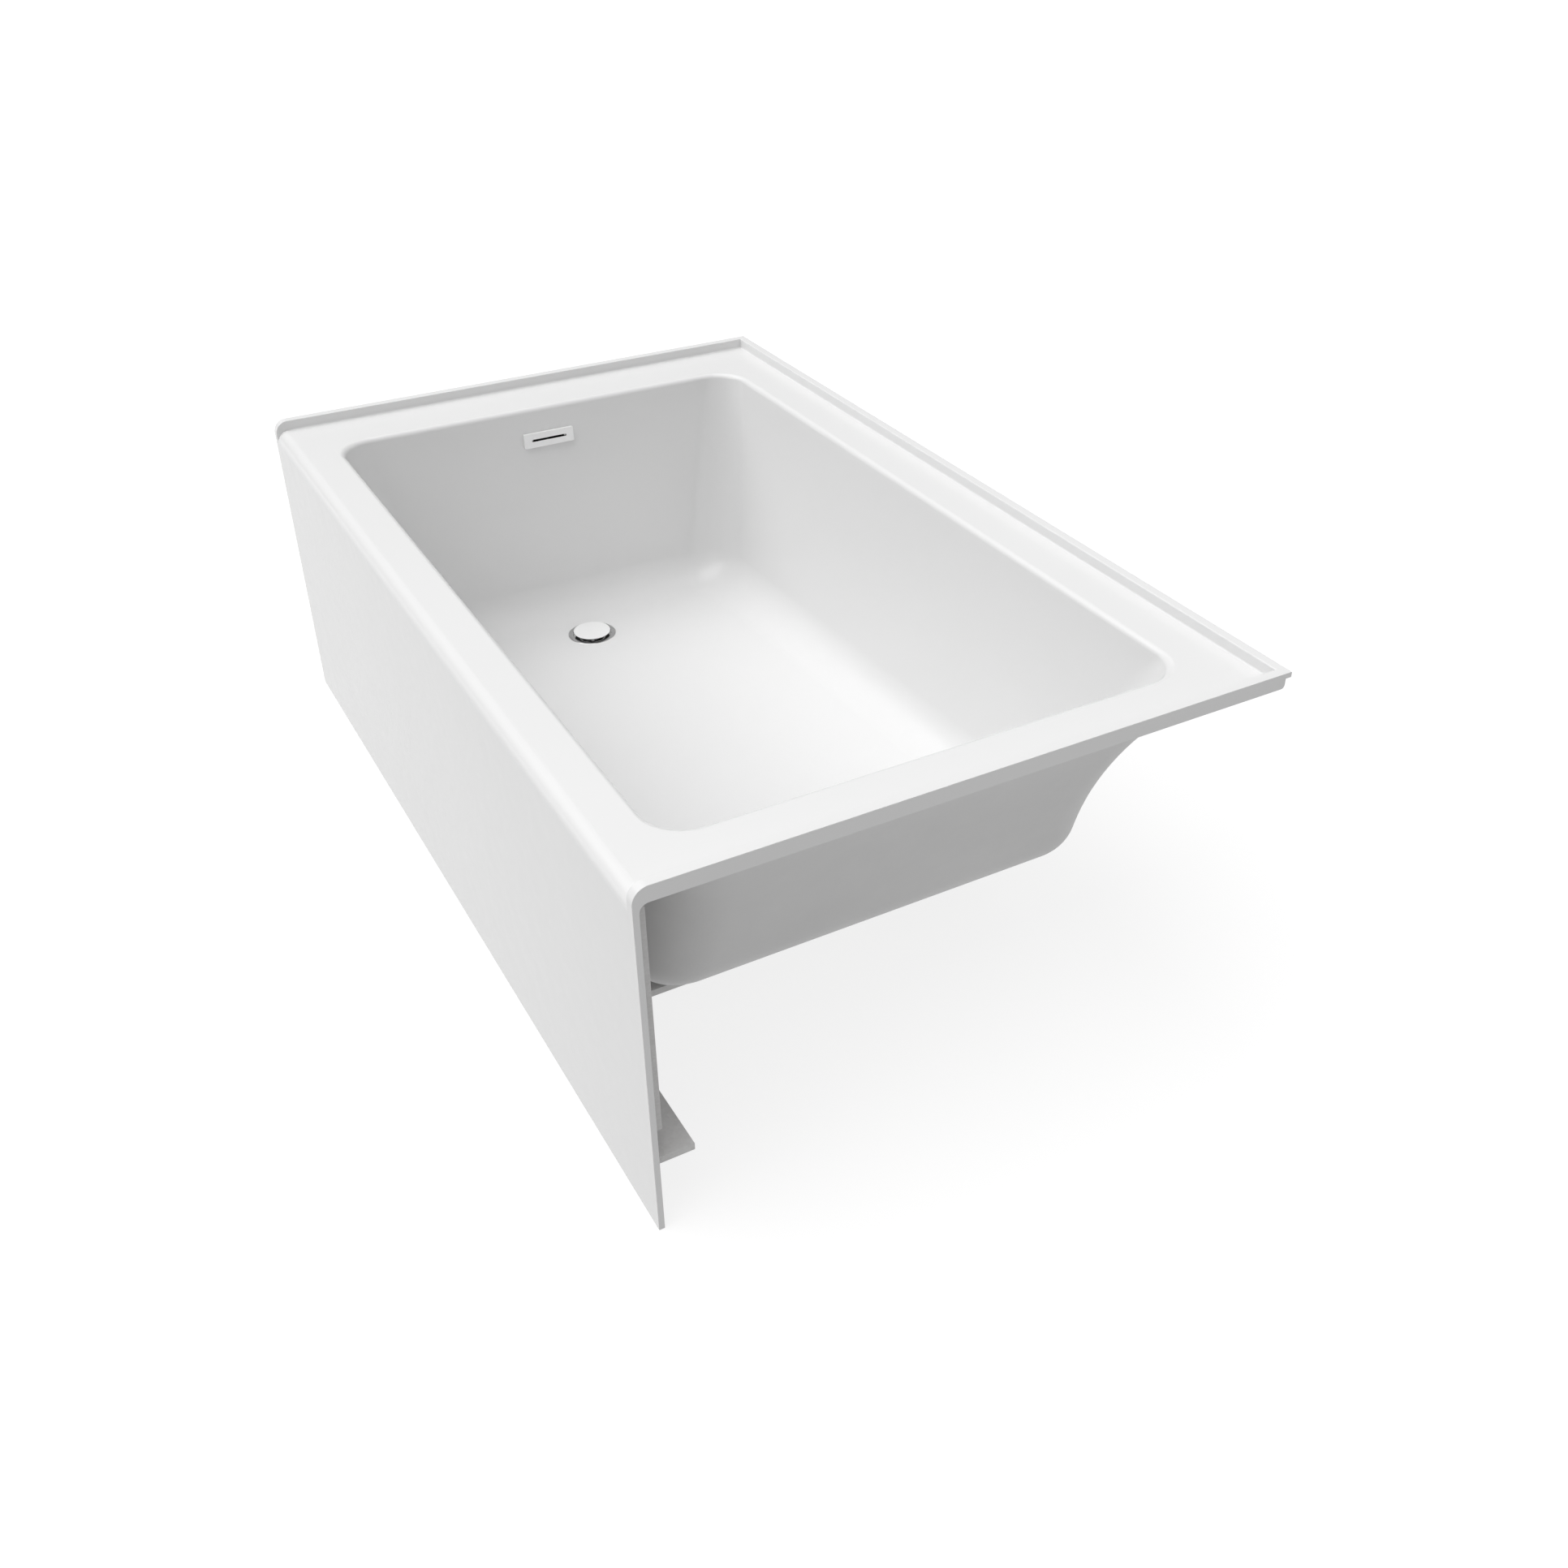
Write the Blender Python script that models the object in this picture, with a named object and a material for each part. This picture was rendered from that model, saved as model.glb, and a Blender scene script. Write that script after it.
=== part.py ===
"""Alcove bath with integral apron, three-sided tiling flange, levelling feet
and a slot-overflow waste. Metres, +Z up, floor at Z = 0.
+X is the backrest end, -X the drain end, -Y the apron front, +Y the wall side.
"""

import math

import bmesh
import bpy
from mathutils import Matrix, Vector

# ---------------------------------------------------------------- dimensions
TUB_LENGTH = 1.5177
TUB_WIDTH = 0.9144
TUB_HEIGHT = 0.5207
DECK_TOP = 0.5040
DECK_UNDER = 0.4985
APRON_THICK = 0.0080
EDGE_RADIUS = 0.0200
FLANGE_WIDTH = 0.0145
FLANGE_LIP = 0.0080
FLANGE_STEP = 0.0090
FLANGE_HEEL = 0.0055
FLANGE_NOSE = 0.0210

WALL = 0.0060
FLOOR_AT_DRAIN = 0.1085
FLOOR_FALL = 0.020
BASIN_MID = 0.4485 - TUB_WIDTH / 2
TOP_FAR, TOP_NEAR, TOP_HALF = -0.6346, 0.6680, 0.3738
BOT_FAR, BOT_NEAR = -0.6130, 0.5210
BOT_HALF_FAR, BOT_HALF_NEAR = 0.3270, 0.3440
CORNER_TOP, CORNER_BOT = 0.0550, 0.0780
FLOOR_FILLET = 0.0600
LIP_RADIUS = 0.0080
NEAR_CORNER_BOT, NEAR_BULGE = 0.0550, 0.0450
# (reach, drop) of the flare under the deck, by the side it lies along
FLARE_FAR, FLARE_NEAR = (0.022, 0.022), (0.072, 0.280)
FLARE_FRONT_FAR, FLARE_FRONT_NEAR = (0.036, 0.036), (0.036, 0.160)
FLARE_BACK_FAR, FLARE_BACK_NEAR = (0.060, 0.110), (0.072, 0.280)

DRAIN_X, DRAIN_Y = -0.4970, BASIN_MID
DRAIN_HOLE_R = 0.0388
RECESS_R, RECESS_DEPTH = 0.0437, 0.0024
PLATE_Z = 0.4470
PLATE_W, PLATE_H, PLATE_T = 0.0940, 0.0265, 0.0040
OVER_HOLE_W, OVER_HOLE_H = 0.0740, 0.0180

BACKER_T, BACKER_END, BACKER_BOTTOM, BACKER_TOP = 0.0117, 0.7445, 0.1510, 0.4835
RIB_BOTTOM, RIB_TOP, RIB_INNER = 0.0955, 0.1070, 0.0600
BOARD_T, BOARD_FAR, BOARD_NEAR, BOARD_HALF = 0.0110, -0.5650, 0.4860, 0.3300
RAIL_X = (-0.3300, 0.3000)
RAIL_WIDE, RAIL_DEEP, RAIL_HALF, RAIL_SHEET = 0.0500, 0.0240, 0.2900, 0.0020
FOOT_Y = 0.2450
STUD_R, STUD_ABOVE, PAD_R, PAD_H = 0.0060, 0.0070, 0.0260, 0.0180
TUBE_X = -0.6760
PIPE_R, PIPE_BORE = 0.0190, 0.0174
PIPE_Z = 0.0400
GAP = 0.0003

HALF_L, HALF_W = TUB_LENGTH / 2, TUB_WIDTH / 2
FRONT = -HALF_W


# ---------------------------------------------------------------- materials
def material(name, rgb, rough, metal=0.0, coat=0.0):
    mat = bpy.data.materials.new(name)
    mat.use_nodes = True
    bsdf = mat.node_tree.nodes["Principled BSDF"]
    bsdf.inputs["Base Color"].default_value = (*rgb, 1.0)
    bsdf.inputs["Roughness"].default_value = rough
    bsdf.inputs["Metallic"].default_value = metal
    bsdf.inputs["Coat Weight"].default_value = coat
    mat.diffuse_color = (*rgb, 1.0)
    return mat


# ---------------------------------------------------------------- mesh tools
def clear_scene():
    for obj in list(bpy.data.objects):
        bpy.data.objects.remove(obj, do_unlink=True)


def finish(name, bm, mat, origin=(0.0, 0.0, 0.0), smooth=35.0):
    """Turns a bmesh in world coordinates into an object whose origin is given."""
    bmesh.ops.remove_doubles(bm, verts=bm.verts, dist=1e-6)
    bmesh.ops.recalc_face_normals(bm, faces=bm.faces)
    bmesh.ops.translate(bm, verts=bm.verts, vec=-Vector(origin))
    limit = math.radians(smooth)
    for face in bm.faces:
        face.smooth = True
    for edge in bm.edges:
        if len(edge.link_faces) == 2 and edge.calc_face_angle(0.0) > limit:
            edge.smooth = False
    mesh = bpy.data.meshes.new(name)
    bm.to_mesh(mesh)
    bm.free()
    if mat is not None:
        mesh.materials.append(mat)
    obj = bpy.data.objects.new(name, mesh)
    obj.location = origin
    bpy.context.scene.collection.objects.link(obj)
    return obj


def cutter(name, bm):
    obj = finish(name, bm, None)
    obj.hide_render = True
    obj.display_type = "WIRE"
    return obj


def combine(obj, other, how):
    mod = obj.modifiers.new(other.name, "BOOLEAN")
    mod.operation = how
    mod.solver = "EXACT"
    mod.object = other
    return mod


def loft(bm, rings, closed=False):
    """Skins equal-count rings; caps both ends unless the loft closes on itself."""
    made = [[bm.verts.new(p) for p in ring] for ring in rings]
    count = len(made[0])
    last = len(made) if closed else len(made) - 1
    for k in range(last):
        a, b = made[k], made[(k + 1) % len(made)]
        for i in range(count):
            j = (i + 1) % count
            bm.faces.new((a[i], a[j], b[j], b[i]))
    if not closed:
        bm.faces.new(list(reversed(made[0])))
        bm.faces.new(made[-1])


def turn(bm, profile, centre, axis="Z", steps=32):
    """Solid of revolution. The profile is (radius, height) pairs, a closed loop
    when no radius is zero, or a line from axis to axis when its ends are."""
    on_axis = profile[0][0] < 1e-9 and profile[-1][0] < 1e-9
    body = profile[1:-1] if on_axis else profile
    frame = {
        "Z": (Vector((1, 0, 0)), Vector((0, 1, 0)), Vector((0, 0, 1))),
        "X": (Vector((0, 1, 0)), Vector((0, 0, 1)), Vector((1, 0, 0))),
        "Y": (Vector((0, 0, 1)), Vector((1, 0, 0)), Vector((0, 1, 0))),
    }[axis]
    u, v, w = frame
    c = Vector(centre)
    rings = []
    for r, h in body:
        rings.append(
            [
                bm.verts.new(
                    c
                    + u * (r * math.cos(2 * math.pi * k / steps))
                    + v * (r * math.sin(2 * math.pi * k / steps))
                    + w * h
                )
                for k in range(steps)
            ]
        )
    pairs = list(zip(rings, rings[1:]))
    if not on_axis:
        pairs.append((rings[-1], rings[0]))
    for a, b in pairs:
        for k in range(steps):
            j = (k + 1) % steps
            bm.faces.new((a[k], a[j], b[j], b[k]))
    if on_axis:
        bm.faces.new(list(reversed(rings[0])))
        bm.faces.new(rings[-1])


def box(bm, low, high):
    x0, y0, z0 = low
    x1, y1, z1 = high
    loft(
        bm,
        [
            [(x0, y0, z0), (x1, y0, z0), (x1, y1, z0), (x0, y1, z0)],
            [(x0, y0, z1), (x1, y0, z1), (x1, y1, z1), (x0, y1, z1)],
        ],
    )


def prism(bm, outline, axis, low, high):
    """Extrudes a 2-D outline along an axis. X takes (y, z), Y takes (x, z), Z takes (x, y)."""
    place = {
        "X": lambda p, t: (t, p[0], p[1]),
        "Y": lambda p, t: (p[0], t, p[1]),
        "Z": lambda p, t: (p[0], p[1], t),
    }[axis]
    loft(bm, [[place(p, low) for p in outline], [place(p, high) for p in outline]])


def arc(cx, cy, r, start, end, steps):
    return [
        (
            cx + r * math.cos(math.radians(start + (end - start) * k / steps)),
            cy + r * math.sin(math.radians(start + (end - start) * k / steps)),
        )
        for k in range(steps + 1)
    ]


def round_rect(w, h, r, steps=4):
    pts = []
    for sx, sy, a in ((1, 1, 0), (-1, 1, 90), (-1, -1, 180), (1, -1, 270)):
        pts += arc(sx * (w / 2 - r), sy * (h / 2 - r), r, a, a + 90, steps)
    return pts


def lerp(a, b, t):
    return a + (b - a) * t


def floor_z(x):
    return FLOOR_AT_DRAIN + FLOOR_FALL * (x - DRAIN_X)


def hexagon(r):
    return [
        (r * math.cos(math.pi * k / 3), r * math.sin(math.pi * k / 3)) for k in range(6)
    ]


# ---------------------------------------------------------------- tub shell
def basin_point(corner, angle, z, off):
    """A point of the basin wall at height z, moved outwards by off."""
    h = (z - FLOOR_AT_DRAIN) / (DECK_TOP - FLOOR_AT_DRAIN)
    xa = lerp(BOT_FAR, TOP_FAR, h) - off
    xb = lerp(BOT_NEAR, TOP_NEAR, h) + off * 1.075
    half_far = lerp(BOT_HALF_FAR, TOP_HALF, h) + off
    half_near = lerp(BOT_HALF_NEAR, TOP_HALF, h) + off
    near, back = corner
    low = NEAR_CORNER_BOT if near else CORNER_BOT
    bulge = NEAR_BULGE * 4 * max(h, 0.0) * max(1.0 - h, 0.0) if near else 0.0
    r = max(lerp(low, CORNER_TOP, h) + bulge + off, 0.004)
    half = half_near if near else half_far
    cx = xb - r if near else xa + r
    cy = BASIN_MID + (half - r if back else r - half)
    return cx + r * math.cos(angle), cy + r * math.sin(angle)


def basin_frames(steps):
    """The outline as (corner, angle) pairs, anticlockwise from the near side."""
    frames = []
    for corner, start in (((1, 1), 0), ((0, 1), 90), ((0, 0), 180), ((1, 0), 270)):
        for k in range(steps + 1):
            frames.append((corner, math.radians(start + 90 * k / steps)))
    return frames


def fillet_rings(frames, off, steps):
    """Rings from the floor edge, round the fillet, to where the wall is straight."""
    rings = []
    radius = FLOOR_FILLET + off
    for s in range(steps + 1):
        a = math.pi / 2 * s / steps
        inset, rise = radius * (1 - math.sin(a)), radius * (1 - math.cos(a))
        ring = []
        for corner, angle in frames:
            x = BOT_NEAR if corner[0] else BOT_FAR
            for _ in range(3):
                z = floor_z(x) - off + rise
                x, y = basin_point(corner, angle, z, off - inset)
            ring.append((x, y, z))
        rings.append(ring)
    return rings


def flare_of(corner, angle):
    """Reach and drop of the flare under the deck, blended round each corner."""
    near, back = corner
    along_x = FLARE_NEAR if near else FLARE_FAR
    if back:
        along_y = FLARE_BACK_NEAR if near else FLARE_BACK_FAR
    else:
        along_y = FLARE_FRONT_NEAR if near else FLARE_FRONT_FAR
    c2 = math.cos(angle) ** 2
    return tuple(p * c2 + q * (1 - c2) for p, q in zip(along_x, along_y))


def wall_rings(frames, low, high, off, steps):
    """Rings of the plain wall, between the fillet and whatever is above it."""
    rings = []
    for k in range(1, steps):
        ring = []
        for (corner, angle), a, b in zip(frames, low, high):
            z = lerp(a[2], b[2], k / steps)
            x, y = basin_point(corner, angle, z, off)
            ring.append((x, y, z))
        rings.append(ring)
    return rings


def basin_outside(frames, steps):
    rings = fillet_rings(frames, WALL, steps)
    flare = []
    for b in range(0, steps + 1):
        t = math.radians(76 * b / steps)
        ring = []
        for corner, angle in frames:
            reach, drop = flare_of(corner, angle)
            z = DECK_UNDER - drop * (1 - math.sin(t))
            x, y = basin_point(corner, angle, z, WALL + reach * (1 - math.cos(t)))
            ring.append((x, y, z))
        flare.append(ring)
    rings += wall_rings(frames, rings[-1], flare[0], WALL, 3)
    rings += flare
    top = []
    for corner, angle in frames:
        reach = flare_of(corner, angle)[0]
        grow = WALL + reach * (1 - math.cos(math.radians(76))) + 0.006
        x, y = basin_point(corner, angle, DECK_UNDER, grow)
        top.append((x, y, DECK_UNDER + 0.0025))
    rings.append(top)
    return rings


def basin_inside(frames, steps, lip_steps):
    rings = fillet_rings(frames, 0.0, steps)
    lip = []
    for b in range(lip_steps + 1):
        t = math.pi / 2 * b / lip_steps
        z = DECK_TOP - LIP_RADIUS * (1 - math.sin(t))
        ring = []
        for corner, angle in frames:
            x, y = basin_point(corner, angle, min(z, DECK_TOP), LIP_RADIUS * (1 - math.cos(t)))
            ring.append((x, y, z + (1e-5 if b == lip_steps else 0.0)))
        lip.append(ring)
    rings += wall_rings(frames, rings[-1], lip[0], 0.0, 6)
    rings += lip
    rings.append([(x, y, DECK_TOP + 0.03) for x, y, _ in rings[-1]])
    return rings


def shell_profile(edge_steps):
    """The section across the tub: apron, rounded front edge, deck, back flange."""
    back = HALF_W
    inner_r = EDGE_RADIUS - APRON_THICK
    heel_y = back - FLANGE_STEP
    pts = [(FRONT, 0.0)]
    pts += arc(FRONT + EDGE_RADIUS, DECK_TOP - EDGE_RADIUS, EDGE_RADIUS, 180, 90, edge_steps)
    pts += arc(back - FLANGE_WIDTH - 0.003, DECK_TOP + 0.003, 0.003, 270, 360, 2)
    pts += arc(back - FLANGE_WIDTH + 0.0015, TUB_HEIGHT - 0.0015, 0.0015, 180, 90, 1)
    pts += arc(back - 0.0015, TUB_HEIGHT - 0.0015, 0.0015, 90, 0, 1)
    pts += [(back, TUB_HEIGHT - FLANGE_LIP), (heel_y, TUB_HEIGHT - FLANGE_LIP)]
    pts += arc(heel_y - FLANGE_HEEL, DECK_UNDER + FLANGE_HEEL, FLANGE_HEEL, 0, -90, 3)
    pts += arc(
        FRONT + APRON_THICK + inner_r, DECK_UNDER - inner_r, inner_r, 90, 180, 3
    )
    pts += [(FRONT + APRON_THICK, 0.0)]
    return pts


def flange_profile(nose_steps):
    """The section of the flange across each end of the tub."""
    back = HALF_W
    heel_y = back - FLANGE_STEP
    pts = [(FRONT, DECK_UNDER - 0.020)]
    pts += arc(FRONT + FLANGE_NOSE, TUB_HEIGHT - FLANGE_NOSE, FLANGE_NOSE, 180, 90, nose_steps)
    pts += arc(back - 0.0015, TUB_HEIGHT - 0.0015, 0.0015, 90, 0, 1)
    pts += [(back, TUB_HEIGHT - FLANGE_LIP), (heel_y, TUB_HEIGHT - FLANGE_LIP)]
    pts += arc(heel_y - FLANGE_HEEL, DECK_UNDER + FLANGE_HEEL, FLANGE_HEEL, 0, -90, 3)
    pts += [(FRONT + EDGE_RADIUS, DECK_UNDER)]
    pts += [(FRONT + APRON_THICK, DECK_UNDER - (EDGE_RADIUS - APRON_THICK))]
    pts += [(FRONT + APRON_THICK, DECK_UNDER - 0.020)]
    return pts


def wall_x(z):
    """The drain-end wall's inner face at height z."""
    return lerp(BOT_FAR, TOP_FAR, (z - FLOOR_AT_DRAIN) / (DECK_TOP - FLOOR_AT_DRAIN))


def wall_tilt():
    """Lean of the drain-end wall from upright."""
    return math.atan2(BOT_FAR - TOP_FAR, DECK_TOP - FLOOR_AT_DRAIN)


def on_wall(u, v, out):
    """World point beside the overflow: u along Y, v up the wall, out into the basin."""
    tilt = wall_tilt()
    base = Vector((wall_x(PLATE_Z), BASIN_MID, PLATE_Z))
    up = Vector((-math.sin(tilt), 0.0, math.cos(tilt)))
    normal = Vector((math.cos(tilt), 0.0, math.sin(tilt)))
    return base + up * v + Vector((0, u, 0)) + normal * out


def wall_prism(bm, outline, out0, out1):
    loft(
        bm,
        [
            [tuple(on_wall(u, v, out0)) for u, v in outline],
            [tuple(on_wall(u, v, out1)) for u, v in outline],
        ],
    )


def tub_shell(mat):
    bm = bmesh.new()
    prism(bm, shell_profile(6), "X", -HALF_L, HALF_L)
    shell = finish("tub_shell", bm, mat)

    for label, low in (("near", HALF_L - FLANGE_WIDTH), ("far", -HALF_L)):
        bm = bmesh.new()
        prism(bm, flange_profile(6), "X", low, low + FLANGE_WIDTH)
        combine(shell, cutter("add_flange_" + label, bm), "UNION")

    bm = bmesh.new()
    loft(bm, basin_outside(basin_frames(6), 5))
    combine(shell, cutter("add_basin", bm), "UNION")

    bm = bmesh.new()
    loft(bm, basin_inside(basin_frames(6), 5, 3))
    combine(shell, cutter("cut_basin", bm), "DIFFERENCE")

    bm = bmesh.new()
    turn(
        bm,
        [
            (0, FLOOR_AT_DRAIN + 0.02),
            (RECESS_R, FLOOR_AT_DRAIN + 0.02),
            (RECESS_R, FLOOR_AT_DRAIN - RECESS_DEPTH),
            (DRAIN_HOLE_R, FLOOR_AT_DRAIN - RECESS_DEPTH),
            (DRAIN_HOLE_R, FLOOR_AT_DRAIN - 0.03),
            (0, FLOOR_AT_DRAIN - 0.03),
        ],
        (DRAIN_X, DRAIN_Y, 0),
        steps=32,
    )
    combine(shell, cutter("cut_drain", bm), "DIFFERENCE")

    bm = bmesh.new()
    wall_prism(bm, round_rect(OVER_HOLE_W, OVER_HOLE_H, 0.004, 3), -0.02, 0.02)
    combine(shell, cutter("cut_overflow", bm), "DIFFERENCE")
    return shell


# ---------------------------------------------------------------- boards
def sloped_box(bm, low_x, high_x, low_y, high_y, drop, thick):
    """A slab parallel to the tub floor, its top a given drop below it."""
    rings = []
    for extra in (thick, 0.0):
        rings.append(
            [
                (x, y, floor_z(x) - drop - extra)
                for x, y in (
                    (low_x, low_y),
                    (high_x, low_y),
                    (high_x, high_y),
                    (low_x, high_y),
                )
            ]
        )
    loft(bm, rings)


def boards(board_mat):
    inner = FRONT + APRON_THICK
    bm = bmesh.new()
    box(
        bm,
        (-BACKER_END, inner + GAP, BACKER_BOTTOM),
        (BACKER_END, inner + GAP + BACKER_T, BACKER_TOP),
    )
    finish("apron_backer_board", bm, board_mat)

    bm = bmesh.new()
    box(
        bm,
        (-BACKER_END, inner + GAP, RIB_BOTTOM),
        (BACKER_END, FRONT + RIB_INNER, RIB_TOP),
    )
    finish("apron_stiffener_rib", bm, board_mat)

    bm = bmesh.new()
    sloped_box(
        bm,
        BOARD_FAR,
        BOARD_NEAR,
        BASIN_MID - BOARD_HALF,
        BASIN_MID + BOARD_HALF,
        WALL + GAP,
        BOARD_T,
    )
    board = finish("base_board", bm, board_mat)
    bm = bmesh.new()
    pts = arc(DRAIN_X, DRAIN_Y, 0.062, 90, -90, 12)
    pts += [(BOARD_FAR - 0.05, DRAIN_Y - 0.062), (BOARD_FAR - 0.05, DRAIN_Y + 0.062)]
    prism(bm, list(reversed(pts)), "Z", 0.05, 0.15)
    combine(board, cutter("cut_board_drain", bm), "DIFFERENCE")
    bm = bmesh.new()
    for x in RAIL_X:
        for y in (BASIN_MID - FOOT_Y, BASIN_MID + FOOT_Y):
            turn(bm, [(0, 0.05), (0.0080, 0.05), (0.0080, 0.15), (0, 0.15)], (x, y, 0), steps=20)
    combine(board, cutter("cut_board_studs", bm), "DIFFERENCE")


# ---------------------------------------------------------------- supports
def board_under(x):
    return floor_z(x) - WALL - GAP - BOARD_T


def rail(name, x_mid, mat):
    """An inverted channel across the tub, screwed up under the base board."""
    bm = bmesh.new()
    w, s = RAIL_WIDE / 2, RAIL_SHEET
    outline = [
        (-w, -RAIL_DEEP), (-w, 0.0), (w, 0.0), (w, -RAIL_DEEP),
        (w - s, -RAIL_DEEP), (w - s, -s), (-w + s, -s), (-w + s, -RAIL_DEEP),
    ]
    rings = []
    for y in (BASIN_MID - RAIL_HALF, BASIN_MID + RAIL_HALF):
        rings.append(
            [(x_mid + x, y, board_under(x_mid + x) - GAP + z) for x, z in outline]
        )
    loft(bm, rings)
    obj = finish(name, bm, mat)
    bm = bmesh.new()
    for y in (-FOOT_Y, FOOT_Y):
        turn(
            bm,
            [(0, 0.06), (STUD_R + 0.0005, 0.06), (STUD_R + 0.0005, 0.125), (0, 0.125)],
            (x_mid, BASIN_MID + y, 0),
            steps=20,
        )
    for y in (-0.1, 0.1):
        turn(
            bm,
            [(0, 0.06), (0.0026, 0.06), (0.0026, 0.125), (0, 0.125)],
            (x_mid, BASIN_MID + y, 0),
            steps=12,
        )
    combine(obj, cutter("cut_" + name, bm), "DIFFERENCE")
    return obj


def foot(tag, x, y, steel, rubber):
    """A levelling foot: threaded stud and pad, locked by a nut under its rail."""
    web = board_under(x) - GAP - RAIL_SHEET
    top = web - 0.0105
    bm = bmesh.new()
    turn(
        bm,
        [
            (0, PAD_H + GAP), (0.0105, PAD_H + GAP), (0.0105, PAD_H + 0.005),
            (STUD_R, PAD_H + 0.007), (STUD_R, web + STUD_ABOVE - 0.001),
            (STUD_R - 0.001, web + STUD_ABOVE), (0, web + STUD_ABOVE),
        ],
        (x, y, 0),
        steps=20,
    )
    finish("foot_stud_" + tag, bm, steel, (x, y, 0.0))

    bm = bmesh.new()
    turn(
        bm,
        [
            (0, 0.0), (PAD_R - 0.001, 0.0), (PAD_R, 0.001), (PAD_R, 0.006),
            (0.017, PAD_H - 0.002), (0.015, PAD_H), (0, PAD_H),
        ],
        (x, y, 0),
        steps=28,
    )
    finish("foot_pad_" + tag, bm, rubber, (x, y, 0.0))

    bm = bmesh.new()
    outer = [(x + u, y + v) for u, v in hexagon(0.0108)]
    prism(bm, outer, "Z", top, web - 0.0005)
    nut = finish("foot_nut_" + tag, bm, steel)
    bm = bmesh.new()
    turn(
        bm,
        [(0, top - 0.01), (STUD_R + GAP, top - 0.01), (STUD_R + GAP, web + 0.01), (0, web + 0.01)],
        (x, y, 0),
        steps=20,
    )
    combine(nut, cutter("cut_nut_" + tag, bm), "DIFFERENCE")


def rail_screw(name, x, y, steel):
    """Pan-head wood screw driven up through the rail into the base board."""
    web = board_under(x) - GAP - RAIL_SHEET
    bm = bmesh.new()
    turn(
        bm,
        [
            (0, web - 0.0032), (0.0028, web - 0.0032), (0.0044, web - 0.0022),
            (0.0046, web - 0.0004), (0.0021, web - 0.0004), (0.0021, web + RAIL_SHEET + 0.0001),
            (0, web + RAIL_SHEET + 0.0001),
        ],
        (x, y, 0),
        steps=16,
    )
    finish(name, bm, steel)


# ---------------------------------------------------------------- waste
def drain(chrome, rubber, plastic, nut_mat):
    z = FLOOR_AT_DRAIN
    centre = (DRAIN_X, DRAIN_Y, 0)
    bm = bmesh.new()
    turn(
        bm,
        [
            (0.0430, z - RECESS_DEPTH + GAP), (0.0430, z - 0.0004), (0.0426, z),
            (0.0358, z), (0.0352, z - 0.0006), (0.0346, z - 0.0046),
            (0.0260, z - 0.0052), (0.0208, z - 0.0080), (0.0208, z - 0.0440),
            (0.0232, z - 0.0440), (0.0232, z - 0.0130), (0.0290, z - 0.0085),
            (0.0376, z - 0.0075), (0.0382, z - RECESS_DEPTH + GAP),
        ],
        centre,
        steps=40,
    )
    body = finish("drain_flange", bm, chrome)
    bm = bmesh.new()
    low, high = z - 0.0180, z - 0.0140
    turn(bm, [(0, low), (0.0075, low), (0.0075, high), (0, high)], centre, steps=20)
    hub = cutter("add_hub", bm)
    combine(body, hub, "UNION")
    for k in range(3):
        a = math.radians(30 + 120 * k)
        d, n = Vector((math.cos(a), math.sin(a))), Vector((-math.sin(a), math.cos(a)))
        c = Vector((DRAIN_X, DRAIN_Y))
        bm = bmesh.new()
        pts = []
        for s, t in ((0.004, -0.0016), (0.0216, -0.0016), (0.0216, 0.0016), (0.004, 0.0016)):
            p = c + d * s + n * t
            pts.append((p.x, p.y))
        prism(bm, pts, "Z", low, high)
        combine(body, cutter("add_spoke_%d" % k, bm), "UNION")
    bm = bmesh.new()
    turn(bm, [(0, low - 0.01), (0.0042, low - 0.01), (0.0042, high + 0.01), (0, high + 0.01)], centre, steps=20)
    combine(body, cutter("cut_hub", bm), "DIFFERENCE")

    under = z - WALL
    bm = bmesh.new()
    turn(
        bm,
        [
            (0.0390, under - 0.0012), (0.0500, under - 0.0012),
            (0.0500, under - 0.0040), (0.0238, under - 0.0105), (0.0238, under - 0.0075),
        ],
        centre,
        steps=32,
    )
    finish("drain_gasket", bm, rubber)

    flanged_nut(
        "drain_locknut",
        (DRAIN_X, DRAIN_Y, 0),
        "Z",
        [
            (0, under - 0.0190), (0.0330, under - 0.0190), (0.0340, under - 0.0140),
            (0.0490, under - 0.0085), (0.0490, under - 0.0062), (0.0236, under - 0.0112),
            (0, under - 0.0112),
        ],
        0.0236,
        8,
        nut_mat,
    )


def stopper(white, rubber, chrome):
    """Toe-tap stopper, drawn open: cap, seal and the stem that slides in the hub."""
    z = FLOOR_AT_DRAIN
    centre = (DRAIN_X, DRAIN_Y, 0)
    origin = (DRAIN_X, DRAIN_Y, z)
    top = z + 0.0065
    bm = bmesh.new()
    turn(
        bm,
        [
            (0, top - 0.0027), (0.0328, top - 0.0027), (0.0337, top - 0.0020),
            (0.0338, top - 0.0011), (0.0333, top - 0.0004), (0.0250, top), (0, top + 0.0002),
        ],
        centre,
        steps=48,
    )
    finish("stopper_cap", bm, white, origin)

    bm = bmesh.new()
    turn(
        bm,
        [
            (0.0066, top - 0.0030), (0.0318, top - 0.0030), (0.0322, top - 0.0036),
            (0.0310, top - 0.0044), (0.0066, top - 0.0044),
        ],
        centre,
        steps=40,
    )
    finish("stopper_seal", bm, rubber, origin)

    bm = bmesh.new()
    turn(
        bm,
        [
            (0, z - 0.0320), (0.0030, z - 0.0320), (0.0038, z - 0.0312), (0.0038, top - 0.0075),
            (0.0062, top - 0.0070), (0.0062, top - 0.0030), (0, top - 0.0030),
        ],
        centre,
        steps=20,
    )
    finish("stopper_stem", bm, chrome, origin)


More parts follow.
